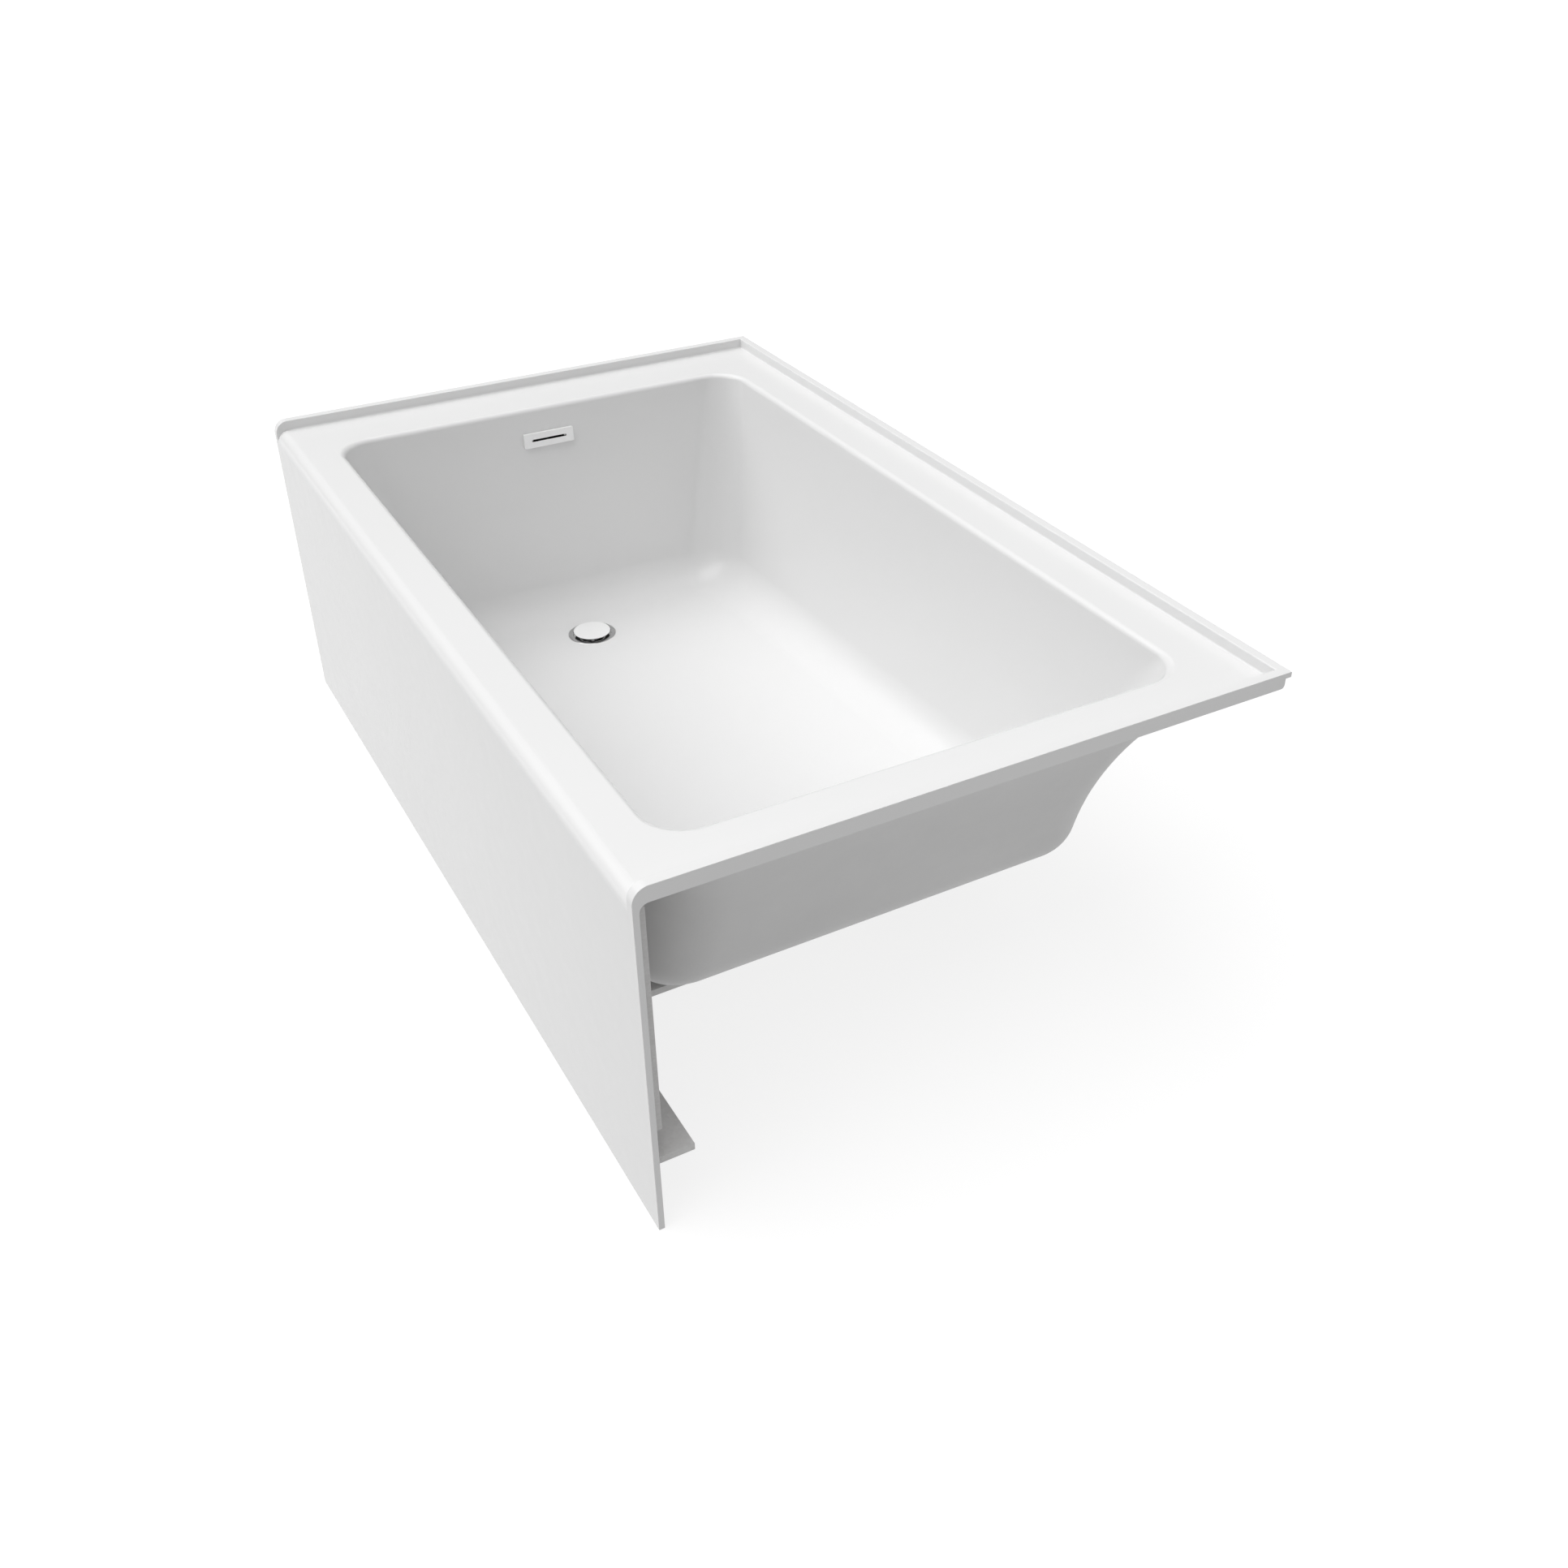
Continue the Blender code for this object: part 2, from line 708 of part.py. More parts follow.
def tube_solid(bm, inner, outer, low, high, centre, axis, steps=28):
    turn(bm, [(inner, low), (outer, low), (outer, high), (inner, high)], centre, axis, steps)


def flanged_nut(name, centre, axis, profile, bore, sides, mat):
    """A nut turned with a few flat sides, then bored round."""
    bm = bmesh.new()
    turn(bm, profile, centre, axis, sides)
    nut = finish(name, bm, mat, smooth=20)
    ends = [h for _, h in profile]
    bm = bmesh.new()
    low, high = min(ends) - 0.01, max(ends) + 0.01
    turn(bm, [(0, low), (bore, low), (bore, high), (0, high)], centre, axis, 28)
    combine(nut, cutter("cut_" + name, bm), "DIFFERENCE")
    return nut


def slip_nut(name, centre, axis, wide_end, thin_end, mat):
    """A coupling nut: full size at the socket, tapered where the pipe leaves it."""
    span = thin_end - wide_end
    profile = [
        (0, wide_end), (0.0240, wide_end), (0.0255, wide_end + 0.10 * span),
        (0.0255, wide_end + 0.75 * span), (0.0223, thin_end), (0, thin_end),
    ]
    return flanged_nut(name, centre, axis, profile, PIPE_R + GAP, 12, mat)


def fitting(name, mat, adds, cuts):
    """A moulded fitting: the union of solid tubes, then the bores cut through."""
    first = None
    for k, (centre, axis, r, low, high) in enumerate(adds):
        bm = bmesh.new()
        turn(bm, [(0, low), (r, low), (r, high), (0, high)], centre, axis, 28)
        if first is None:
            first = finish(name, bm, mat)
        else:
            combine(first, cutter("add_%s_%d" % (name, k), bm), "UNION")
    for k, (centre, axis, r, low, high) in enumerate(cuts):
        bm = bmesh.new()
        turn(bm, [(0, low), (r, low), (r, high), (0, high)], centre, axis, 28)
        combine(first, cutter("cut_%s_%d" % (name, k), bm), "DIFFERENCE")
    return first


def waste(plastic, nut_mat, rubber):
    z = FLOOR_AT_DRAIN
    shoe_top = z - WALL - 0.0194
    d = (DRAIN_X, DRAIN_Y, 0)
    pipe = (0, DRAIN_Y, PIPE_Z)
    shoe_out = DRAIN_X - 0.050
    # Elbow screwed on to the drain body, its outlet turned towards the drain end.
    fitting(
        "drain_shoe",
        plastic,
        [
            (d, "Z", 0.0275, PIPE_Z - 0.0225, shoe_top),
            (pipe, "X", 0.0215, shoe_out, DRAIN_X),
        ],
        [
            (d, "Z", 0.0236, PIPE_Z + 0.012, shoe_top + 0.01),
            (d, "Z", 0.0190, PIPE_Z - 0.0180, PIPE_Z + 0.013),
            (pipe, "X", PIPE_R + GAP, shoe_out - 0.01, shoe_out + 0.020),
            (pipe, "X", 0.0170, shoe_out + 0.019, DRAIN_X),
        ],
    )
    # Horizontal pipe from the elbow to the tee.
    tee_in = TUBE_X + 0.046
    bm = bmesh.new()
    tube_solid(bm, PIPE_BORE, PIPE_R, tee_in - 0.0185, shoe_out + 0.0185, pipe, "X")
    finish("waste_pipe", bm, plastic)
    slip_nut("shoe_slip_nut", pipe, "X", shoe_out - GAP, shoe_out - 0.0165, nut_mat)

    # Tee below the overflow, with sockets to the side, top and bottom.
    t = (TUBE_X, DRAIN_Y, 0)
    tee_low, tee_high = 0.0125, PIPE_Z + 0.048
    fitting(
        "waste_tee",
        plastic,
        [
            (t, "Z", 0.0215, tee_low, tee_high),
            (pipe, "X", 0.0215, TUBE_X, tee_in),
        ],
        [
            (t, "Z", 0.0170, tee_low - 0.01, tee_high + 0.01),
            (t, "Z", PIPE_R + GAP, tee_high - 0.020, tee_high + 0.01),
            (pipe, "X", 0.0170, TUBE_X, tee_in + 0.01),
            (pipe, "X", PIPE_R + GAP, tee_in - 0.020, tee_in + 0.01),
        ],
    )
    slip_nut("tee_side_nut", pipe, "X", tee_in + GAP, tee_in + 0.0165, nut_mat)
    slip_nut("tee_top_nut", t, "Z", tee_high + GAP, tee_high + 0.0165, nut_mat)

    # Short tail that carries on down to the trap.
    bm = bmesh.new()
    turn(
        bm,
        [
            (0.0150, 0.0010), (0.0200, 0.0010), (0.0200, tee_low - GAP),
            (0.0166, tee_low - GAP), (0.0166, tee_low + 0.010), (0.0150, tee_low + 0.010),
        ],
        t,
        steps=28,
    )
    finish("waste_tailpiece", bm, plastic)

    # Overflow riser.
    body_low = PLATE_Z - 0.056
    bm = bmesh.new()
    tube_solid(bm, PIPE_BORE, PIPE_R, tee_high - 0.0185, body_low + 0.0185, t, "Z")
    finish("overflow_tube", bm, plastic)
    slip_nut("overflow_slip_nut", t, "Z", body_low - GAP, body_low - 0.0165, nut_mat)


def overflow(plastic, rubber, steel, satin):
    """Box fitting behind the wall, gasket, bracket, screws and the slotted cover."""
    back = -WALL
    # Gasket between the fitting and the outside of the wall.
    bm = bmesh.new()
    wall_prism(bm, round_rect(0.096, 0.038, 0.006, 3), back - 0.0028, back - 0.0005)
    gasket = finish("overflow_gasket", bm, rubber)
    bm = bmesh.new()
    wall_prism(bm, round_rect(0.078, 0.020, 0.004, 3), back - 0.01, back + 0.01)
    combine(gasket, cutter("cut_gasket", bm), "DIFFERENCE")

    # Fitting: a shallow box open to the basin, its outlet socket underneath.
    face = back - 0.0031
    bm = bmesh.new()
    wall_prism(bm, round_rect(0.096, 0.038, 0.006, 3), face - 0.0040, face)
    body = finish("overflow_body", bm, plastic)
    bm = bmesh.new()
    wall_prism(bm, round_rect(0.084, 0.032, 0.005, 3), face - 0.0560, face - 0.0020)
    combine(body, cutter("add_over_box", bm), "UNION")
    low = PLATE_Z - 0.056
    t = (TUBE_X, BASIN_MID, 0)
    bm = bmesh.new()
    turn(bm, [(0, low), (0.0215, low), (0.0215, PLATE_Z), (0, PLATE_Z)], t, steps=28)
    combine(body, cutter("add_over_socket", bm), "UNION")
    bm = bmesh.new()
    wall_prism(bm, round_rect(0.078, 0.026, 0.003, 3), face - 0.0530, face - 0.0060)
    combine(body, cutter("cut_over_box", bm), "DIFFERENCE")
    bm = bmesh.new()
    wall_prism(bm, round_rect(0.062, 0.020, 0.003, 3), face - 0.0100, face + 0.01)
    combine(body, cutter("cut_over_mouth", bm), "DIFFERENCE")
    bm = bmesh.new()
    turn(
        bm,
        [
            (0, low - 0.01), (PIPE_R + GAP, low - 0.01), (PIPE_R + GAP, low + 0.0200),
            (0.0165, low + 0.0200), (0.0165, PLATE_Z), (0, PLATE_Z),
        ],
        t,
        steps=28,
    )
    combine(body, cutter("cut_over_socket", bm), "DIFFERENCE")

    # Bracket in the wall opening, drawn back on to the fitting by two screws.
    bm = bmesh.new()
    wall_prism(bm, round_rect(0.0900, 0.0220, 0.003, 2), 0.0004, 0.0016)
    bracket = finish("overflow_bracket", bm, steel)
    bm = bmesh.new()
    wall_prism(bm, round_rect(0.0500, 0.0120, 0.003, 2), -0.01, 0.01)
    combine(bracket, cutter("cut_bracket", bm), "DIFFERENCE")
    for sign, tag in ((-1, "left"), (1, "right")):
        u = sign * 0.0335
        bm = bmesh.new()
        wall_prism(bm, [(u + a, b) for a, b in round_rect(0.0052, 0.0052, 0.0025, 3)], -0.02, 0.02)
        combine(bracket, cutter("cut_bracket_" + tag, bm), "DIFFERENCE")
        bm = bmesh.new()
        wall_prism(bm, [(u + a, b) for a, b in round_rect(0.0046, 0.0046, 0.0022, 3)], -0.03, 0.0)
        combine(body, cutter("cut_body_screw_" + tag, bm), "DIFFERENCE")
        bm = bmesh.new()
        shank = [(u + a, b) for a, b in round_rect(0.0040, 0.0040, 0.0019, 4)]
        head = [(u + a, b) for a, b in round_rect(0.0082, 0.0082, 0.0040, 4)]
        dome = [(u + a, b) for a, b in round_rect(0.0050, 0.0050, 0.0024, 4)]
        rings = []
        for outline, out in ((shank, -0.0120), (shank, 0.0019), (head, 0.0019), (head, 0.0027), (dome, 0.0034)):
            rings.append([tuple(on_wall(a, b, out)) for a, b in outline])
        loft(bm, rings)
        finish("overflow_screw_" + tag, bm, steel)

    # Cover: face plate on a shallow skirt, with one long slot for the water.
    bm = bmesh.new()
    base, top = 0.0004, 0.0056
    wall_prism(bm, round_rect(PLATE_W, PLATE_H, 0.0012, 2), base, top)
    cover = finish("overflow_cover", bm, satin)
    bm = bmesh.new()
    wall_prism(bm, round_rect(PLATE_W - 0.0026, PLATE_H - 0.0026, 0.001, 2), base - 0.01, top - 0.0016)
    combine(cover, cutter("cut_cover_back", bm), "DIFFERENCE")
    bm = bmesh.new()
    wall_prism(bm, round_rect(0.0660, 0.0040, 0.00195, 4), top - 0.006, top + 0.01)
    combine(cover, cutter("cut_cover_slot", bm), "DIFFERENCE")


# ---------------------------------------------------------------- assembly
clear_scene()
ACRYLIC = material("white_acrylic", (0.86, 0.86, 0.86), 0.16, coat=0.4)
BOARD = material("sealed_board", (0.62, 0.61, 0.59), 0.75)
GALV = material("galvanised_steel", (0.60, 0.61, 0.62), 0.38, 1.0)
ZINC = material("zinc_steel", (0.66, 0.66, 0.66), 0.30, 1.0)
CHROME = material("polished_chrome", (0.82, 0.82, 0.83), 0.08, 1.0)
CAP_WHITE = material("cap_white", (0.84, 0.84, 0.84), 0.18, coat=0.3)
COVER_WHITE = material("cover_white", (0.74, 0.74, 0.74), 0.25)
RUBBER = material("black_rubber", (0.035, 0.035, 0.036), 0.65)
PAD_RUBBER = material("pad_rubber", (0.06, 0.06, 0.06), 0.72)
PVC = material("white_pvc", (0.80, 0.80, 0.78), 0.38)
NUT_PLASTIC = material("nut_plastic", (0.70, 0.70, 0.68), 0.42)

tub_shell(ACRYLIC)
boards(BOARD)
for label, x_mid in zip(("drain", "backrest"), RAIL_X):
    rail("support_rail_" + label, x_mid, GALV)
    for side, sign in (("front", -1), ("back", 1)):
        tag = "%s_%s" % (label, side)
        foot(tag, x_mid, BASIN_MID + sign * FOOT_Y, ZINC, PAD_RUBBER)
        rail_screw("rail_screw_" + tag, x_mid, BASIN_MID + sign * 0.1, ZINC)
drain(CHROME, RUBBER, PVC, NUT_PLASTIC)
stopper(CAP_WHITE, RUBBER, CHROME)
waste(PVC, NUT_PLASTIC, RUBBER)
overflow(PVC, RUBBER, ZINC, COVER_WHITE)
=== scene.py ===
import math

import bmesh
import bpy
from mathutils import Matrix, Vector


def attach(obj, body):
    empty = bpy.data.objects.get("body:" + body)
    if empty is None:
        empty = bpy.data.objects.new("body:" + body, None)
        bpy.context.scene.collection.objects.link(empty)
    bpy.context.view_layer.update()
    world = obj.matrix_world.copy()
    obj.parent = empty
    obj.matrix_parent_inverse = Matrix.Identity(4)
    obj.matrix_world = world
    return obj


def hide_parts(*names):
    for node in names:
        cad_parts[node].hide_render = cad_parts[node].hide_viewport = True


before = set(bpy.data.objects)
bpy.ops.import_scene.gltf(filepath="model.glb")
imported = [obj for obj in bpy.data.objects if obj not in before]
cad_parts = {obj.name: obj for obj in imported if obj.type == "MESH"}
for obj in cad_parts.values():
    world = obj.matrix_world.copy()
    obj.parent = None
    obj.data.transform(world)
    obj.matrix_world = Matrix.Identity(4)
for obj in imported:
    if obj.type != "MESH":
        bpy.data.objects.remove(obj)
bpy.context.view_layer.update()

# ------------------------------------------------------------ dimensions
TUB_LENGTH = 1.5177
TUB_WIDTH = 0.9144
TUB_HEIGHT = 0.5207
DECK_TOP = 0.5040
DECK_UNDER = 0.4985
APRON_THICK = 0.0080
EDGE_RADIUS = 0.0200
FLANGE_WIDTH = 0.0145
FLANGE_LIP = 0.0080
FLANGE_STEP = 0.0090
FLANGE_HEEL = 0.0055
FLANGE_NOSE = 0.0210
CRISP = 0.0009
EASE = 0.0005

WALL = 0.0060
FLOOR_AT_DRAIN = 0.1085
FLOOR_FALL = 0.020
BASIN_MID = 0.4485 - TUB_WIDTH / 2
TOP_FAR, TOP_NEAR, TOP_HALF = -0.6346, 0.6680, 0.3738
BOT_FAR, BOT_NEAR = -0.6130, 0.5210
BOT_HALF_FAR, BOT_HALF_NEAR = 0.3270, 0.3440
CORNER_TOP, CORNER_BOT = 0.0550, 0.0780
FLOOR_FILLET = 0.0600
LIP_RADIUS = 0.0080
NEAR_CORNER_BOT, NEAR_BULGE = 0.0550, 0.0450
# (reach, drop) of the flare under the deck, by the side it lies along
FLARE_FAR, FLARE_NEAR = (0.022, 0.022), (0.072, 0.280)
FLARE_FRONT_FAR, FLARE_FRONT_NEAR = (0.036, 0.036), (0.036, 0.160)
FLARE_BACK_FAR, FLARE_BACK_NEAR = (0.060, 0.110), (0.072, 0.280)

DRAIN_X, DRAIN_Y = -0.4970, BASIN_MID
DRAIN_HOLE_R = 0.0388
RECESS_R, RECESS_DEPTH = 0.0437, 0.0024
PLATE_Z = 0.4470
PLATE_W, PLATE_H = 0.0940, 0.0265
OVER_HOLE_W, OVER_HOLE_H = 0.0740, 0.0180

RAIL_X = (-0.3300, 0.3000)
RAIL_WIDE, RAIL_DEEP, RAIL_HALF, RAIL_SHEET = 0.0500, 0.0240, 0.2900, 0.0020
BOARD_T = 0.0110
FOOT_Y = 0.2450
STUD_R, STUD_ABOVE, PAD_R, PAD_H = 0.0060, 0.0070, 0.0260, 0.0180
TUBE_X = -0.6760
PIPE_R, PIPE_BORE = 0.0190, 0.0174
PIPE_Z = 0.0400
GAP = 0.0003

HALF_L, HALF_W = TUB_LENGTH / 2, TUB_WIDTH / 2
FRONT = -HALF_W
SCENE = bpy.context.scene


# ------------------------------------------------------------ materials
class Nodes:
    """A little help for building a procedural material."""

    def __init__(self, name):
        self.mat = bpy.data.materials.new(name)
        self.mat.use_nodes = True
        self.tree = self.mat.node_tree
        self.bsdf = self.tree.nodes["Principled BSDF"]

    def put(self, kind, **inputs):
        node = self.tree.nodes.new(kind)
        for key, value in inputs.items():
            if key in node.inputs:
                node.inputs[key].default_value = value
            else:
                setattr(node, key, value)
        return node

    def link(self, a, out, b, into):
        self.tree.links.new(a.outputs[out], b.inputs[into])

    def coords(self, scale=(1, 1, 1)):
        tc = self.put("ShaderNodeTexCoord")
        mp = self.put("ShaderNodeMapping")
        mp.inputs["Scale"].default_value = scale
        self.link(tc, "Object", mp, "Vector")
        return mp

    def noise(self, at, scale, detail=3.0, rough=0.5):
        n = self.put("ShaderNodeTexNoise")
        n.inputs["Scale"].default_value = scale
        n.inputs["Detail"].default_value = detail
        n.inputs["Roughness"].default_value = rough
        self.link(at, "Vector", n, "Vector")
        return n

    def remap(self, node, out, low, high, a=0.3, b=0.7):
        m = self.put("ShaderNodeMapRange")
        m.inputs["From Min"].default_value = a
        m.inputs["From Max"].default_value = b
        m.inputs["To Min"].default_value = low
        m.inputs["To Max"].default_value = high
        self.link(node, out, m, "Value")
        return m

    def ramp(self, node, out, stops):
        r = self.put("ShaderNodeValToRGB")
        els = r.color_ramp.elements
        while len(els) < len(stops):
            els.new(0.5)
        for el, (pos, col) in zip(els, stops):
            el.position = pos
            el.color = (*col, 1.0)
        self.link(node, out, r, "Fac")
        return r

    def bump(self, node, out, strength, distance, before=None):
        b = self.put("ShaderNodeBump")
        b.inputs["Strength"].default_value = strength
        b.inputs["Distance"].default_value = distance
        self.link(node, out, b, "Height")
        if before is not None:
            self.link(before, "Normal", b, "Normal")
        self.link(b, "Normal", self.bsdf, "Normal")
        return b

    def set(self, **values):
        for key, value in values.items():
            self.bsdf.inputs[key.replace("_", " ")].default_value = value


def grey(v, warm=0.0):
    return (v + warm, v, v - warm)


def acrylic(name, tone=0.85, rough=0.20, coat=0.25):
    """Cast acrylic sheet: glossy, faint orange peel and slow drift in tone."""
    n = Nodes(name)
    at = n.coords()
    slow = n.noise(at, 3.5, 2.0)
    col = n.ramp(slow, "Fac", ((0.30, grey(tone * 0.990)), (0.70, grey(tone))))
    n.link(col, "Color", n.bsdf, "Base Color")
    haze = n.noise(at, 22.0, 5.0, 0.6)
    r = n.remap(haze, "Fac", rough - 0.03, rough + 0.04)
    n.link(r, "Result", n.bsdf, "Roughness")
    peel = n.noise(at, 160.0, 2.0, 0.4)
    wave = n.noise(at, 9.0, 1.0, 0.4)
    b1 = n.bump(wave, "Fac", 0.008, 0.0010)
    n.bump(peel, "Fac", 0.035, 0.00022, before=b1)
    n.set(Coat_Weight=coat, Coat_Roughness=0.08, IOR=1.49, Specular_IOR_Level=0.45)
    return n.mat


def laminate(name):
    """Back of the shell: sprayed resin and chopped glass, painted white, matt."""
    n = Nodes(name)
    at = n.coords()
    strands = n.put("ShaderNodeTexVoronoi", feature="DISTANCE_TO_EDGE")
    warp = n.noise(at, 40.0, 3.0, 0.6)
    mixv = n.put("ShaderNodeVectorMath", operation="MULTIPLY_ADD")
    n.link(warp, "Color", mixv, 0)
    mixv.inputs[1].default_value = (0.03, 0.03, 0.03)
    n.link(at, "Vector", mixv, 2)
    n.link(mixv, "Vector", strands, "Vector")
    strands.inputs["Scale"].default_value = 90.0
    fine = n.noise(at, 260.0, 6.0, 0.65)
    blotch = n.noise(at, 6.0, 4.0, 0.6)
    col = n.ramp(blotch, "Fac", ((0.30, grey(0.69, 0.001)), (0.70, grey(0.73, 0.001))))
    n.link(col, "Color", n.bsdf, "Base Color")
    r = n.remap(fine, "Fac", 0.50, 0.68)
    n.link(r, "Result", n.bsdf, "Roughness")
    b1 = n.bump(strands, "Distance", 0.16, 0.0012)
    n.bump(fine, "Fac", 0.14, 0.0006, before=b1)
    return n.mat


def board(name):
    """Resin-sealed particle board: fine chips under a thin greyish wash."""
    n = Nodes(name)
    at = n.coords((1.0, 1.0, 1.6))
    chips = n.put("ShaderNodeTexVoronoi", feature="F1")
    chips.inputs["Scale"].default_value = 210.0
    n.link(at, "Vector", chips, "Vector")
    big = n.noise(at, 14.0, 6.0, 0.65)
    tint = n.ramp(chips, "Color", ((0.15, grey(0.60, 0.008)), (0.55, grey(0.66, 0.006)), (0.9, grey(0.71, 0.005))))
    wash = n.ramp(big, "Fac", ((0.30, grey(0.62, 0.005)), (0.70, grey(0.70, 0.004))))
    mix = n.put("ShaderNodeMix", data_type="RGBA")
    mix.inputs["Factor"].default_value = 0.55
    n.tree.links.new(tint.outputs["Color"], mix.inputs["A"])
    n.tree.links.new(wash.outputs["Color"], mix.inputs["B"])
    n.tree.links.new(mix.outputs["Result"], n.bsdf.inputs["Base Color"])
    r = n.remap(big, "Fac", 0.62, 0.80)
    n.link(r, "Result", n.bsdf, "Roughness")
    b1 = n.bump(chips, "Distance", 0.20, 0.0004)
    n.bump(big, "Fac", 0.10, 0.0008, before=b1)
    return n.mat


def galvanised(name):
    """Hot-dip zinc: leafy spangle in tone and roughness, a few dull patches."""
    n = Nodes(name)
    at = n.coords()
    leaf = n.put("ShaderNodeTexVoronoi", feature="F1")
    leaf.inputs["Scale"].default_value = 95.0
    n.link(at, "Vector", leaf, "Vector")
    dull = n.noise(at, 18.0, 5.0, 0.6)
    col = n.ramp(leaf, "Color", ((0.1, grey(0.46)), (0.5, grey(0.58)), (0.95, grey(0.70))))
    n.link(col, "Color", n.bsdf, "Base Color")
    r = n.remap(dull, "Fac", 0.30, 0.52)
    n.link(r, "Result", n.bsdf, "Roughness")
    n.bump(dull, "Fac", 0.08, 0.0004)
    n.set(Metallic=1.0)
    return n.mat


def plated(name, tone=0.66, rough=0.26):
    """Bright zinc plate, with fine turning marks and slight staining."""
    n = Nodes(name)
    at = n.coords((1.0, 1.0, 30.0))
    lines = n.noise(at, 60.0, 3.0, 0.6)
    plain = n.coords()
    stain = n.noise(plain, 70.0, 4.0, 0.6)
    col = n.ramp(stain, "Fac", ((0.3, grey(tone * 0.86, 0.004)), (0.7, grey(tone, 0.002))))
    n.link(col, "Color", n.bsdf, "Base Color")
    r = n.remap(lines, "Fac", rough - 0.05, rough + 0.12)
    n.link(r, "Result", n.bsdf, "Roughness")
    n.bump(lines, "Fac", 0.08, 0.0002)
    n.set(Metallic=1.0)
    return n.mat


def chrome(name):
    n = Nodes(name)
    at = n.coords()
    smear = n.noise(at, 55.0, 4.0, 0.6)
    col = n.ramp(smear, "Fac", ((0.3, grey(0.58)), (0.7, grey(0.62))))
    n.link(col, "Color", n.bsdf, "Base Color")
    r = n.remap(smear, "Fac", 0.05, 0.13)
    n.link(r, "Result", n.bsdf, "Roughness")
    n.bump(smear, "Fac", 0.02, 0.0002)
    n.set(Metallic=1.0)
    return n.mat


def enamel(name, tone, rough=0.20, coat=0.3, scale=220.0):
    """Smooth white moulding or paint with a whisper of texture."""
    n = Nodes(name)
    at = n.coords()
    slow = n.noise(at, 30.0, 2.0)
    col = n.ramp(slow, "Fac", ((0.3, grey(tone * 0.985)), (0.7, grey(tone))))
    n.link(col, "Color", n.bsdf, "Base Color")
    fine = n.noise(at, scale, 3.0, 0.5)
    r = n.remap(fine, "Fac", rough - 0.03, rough + 0.05)
    n.link(r, "Result", n.bsdf, "Roughness")
    n.bump(fine, "Fac", 0.04, 0.00015)
    n.set(Coat_Weight=coat, Coat_Roughness=0.10)
    return n.mat


def moulded(name, tone, rough=0.40, warm=0.006):
    """Injection-moulded or extruded PVC: faint flow marks and fine grain."""
    n = Nodes(name)
    at = n.coords()
    flow = n.noise(at, 24.0, 5.0, 0.6)
    grain = n.noise(at, 420.0, 2.0, 0.5)
    col = n.ramp(flow, "Fac", ((0.3, grey(tone * 0.96, warm)), (0.7, grey(tone, warm * 0.7))))
    n.link(col, "Color", n.bsdf, "Base Color")
    r = n.remap(flow, "Fac", rough - 0.06, rough + 0.08)
    n.link(r, "Result", n.bsdf, "Roughness")
    n.bump(grain, "Fac", 0.10, 0.00012)
    return n.mat


def rubber(name, tone=0.035, rough=0.62):
    n = Nodes(name)
    at = n.coords()
    dust = n.noise(at, 60.0, 6.0, 0.65)
    grain = n.noise(at, 600.0, 3.0, 0.6)
    col = n.ramp(dust, "Fac", ((0.35, grey(tone)), (0.75, grey(tone * 1.9, 0.002))))
    n.link(col, "Color", n.bsdf, "Base Color")
    r = n.remap(grain, "Fac", rough - 0.08, rough + 0.12)
    n.link(r, "Result", n.bsdf, "Roughness")
    n.bump(grain, "Fac", 0.18, 0.0002)
    return n.mat


ACRYLIC = acrylic("tub_acrylic", 0.76, 0.20, 0.0)
LAMINATE = laminate("shell_back")
BOARD = board("sealed_board_grain")
GALV = galvanised("galvanised_spangle")
ZINC = plated("zinc_plate")
CHROME = chrome("chrome_plate")
CAP = enamel("cap_enamel", 0.90, 0.18, 0.35)
COVER = enamel("cover_enamel", 0.93, 0.22, 0.0)
# Near-black painted shade: the inside faces of the overflow fitting and the cover's slot walls, back and skirt take it
# in place of the shadow that fills the slot.
SLOT_SHADE = moulded("painted_slot_shade", 0.012, 0.70, 0.0)
# Zinc plate with its tone dropped to near black as painted shade, so the bracket seen through the cover's slot reads as
# shadow; the turning marks and staining are the plate's own.
ZINC_PAINTED_SHADE = plated("zinc_plate_dark_painted_shade", 0.05, 0.45)
PVC = moulded("pvc_white", 0.78)
NUT = moulded("nut_moulding", 0.70, 0.46)
RUBBER = rubber("seal_rubber")
PAD = rubber("foot_rubber", 0.05, 0.70)
SEAL = rubber("stopper_seal_rubber", 0.11)


# ------------------------------------------------------------ mesh tools
def finish_mesh(name, bm, mats, smooth=34.0, weighted=True):
    bmesh.ops.remove_doubles(bm, verts=bm.verts, dist=1e-6)
    bmesh.ops.recalc_face_normals(bm, faces=bm.faces)
    mesh = bpy.data.meshes.new(name)
    bm.to_mesh(mesh)
    bm.free()
    for mat in mats:
        mesh.materials.append(mat)
    obj = bpy.data.objects.new(name, mesh)
    SCENE.collection.objects.link(obj)
    crease(obj, smooth)
    if weighted:
        weigh(obj)
    return obj


def crease(obj, smooth):
    bm = bmesh.new()
    bm.from_mesh(obj.data)
    limit = math.radians(smooth)
    for face in bm.faces:
        face.smooth = True
    for edge in bm.edges:
        edge.smooth = not (len(edge.link_faces) == 2 and edge.calc_face_angle(0.0) > limit)
    bm.to_mesh(obj.data)
    bm.free()


def weigh(obj):
    mod = obj.modifiers.new("weighted", "WEIGHTED_NORMAL")
    mod.mode = "FACE_AREA"
    mod.weight = 50
    mod.keep_sharp = True


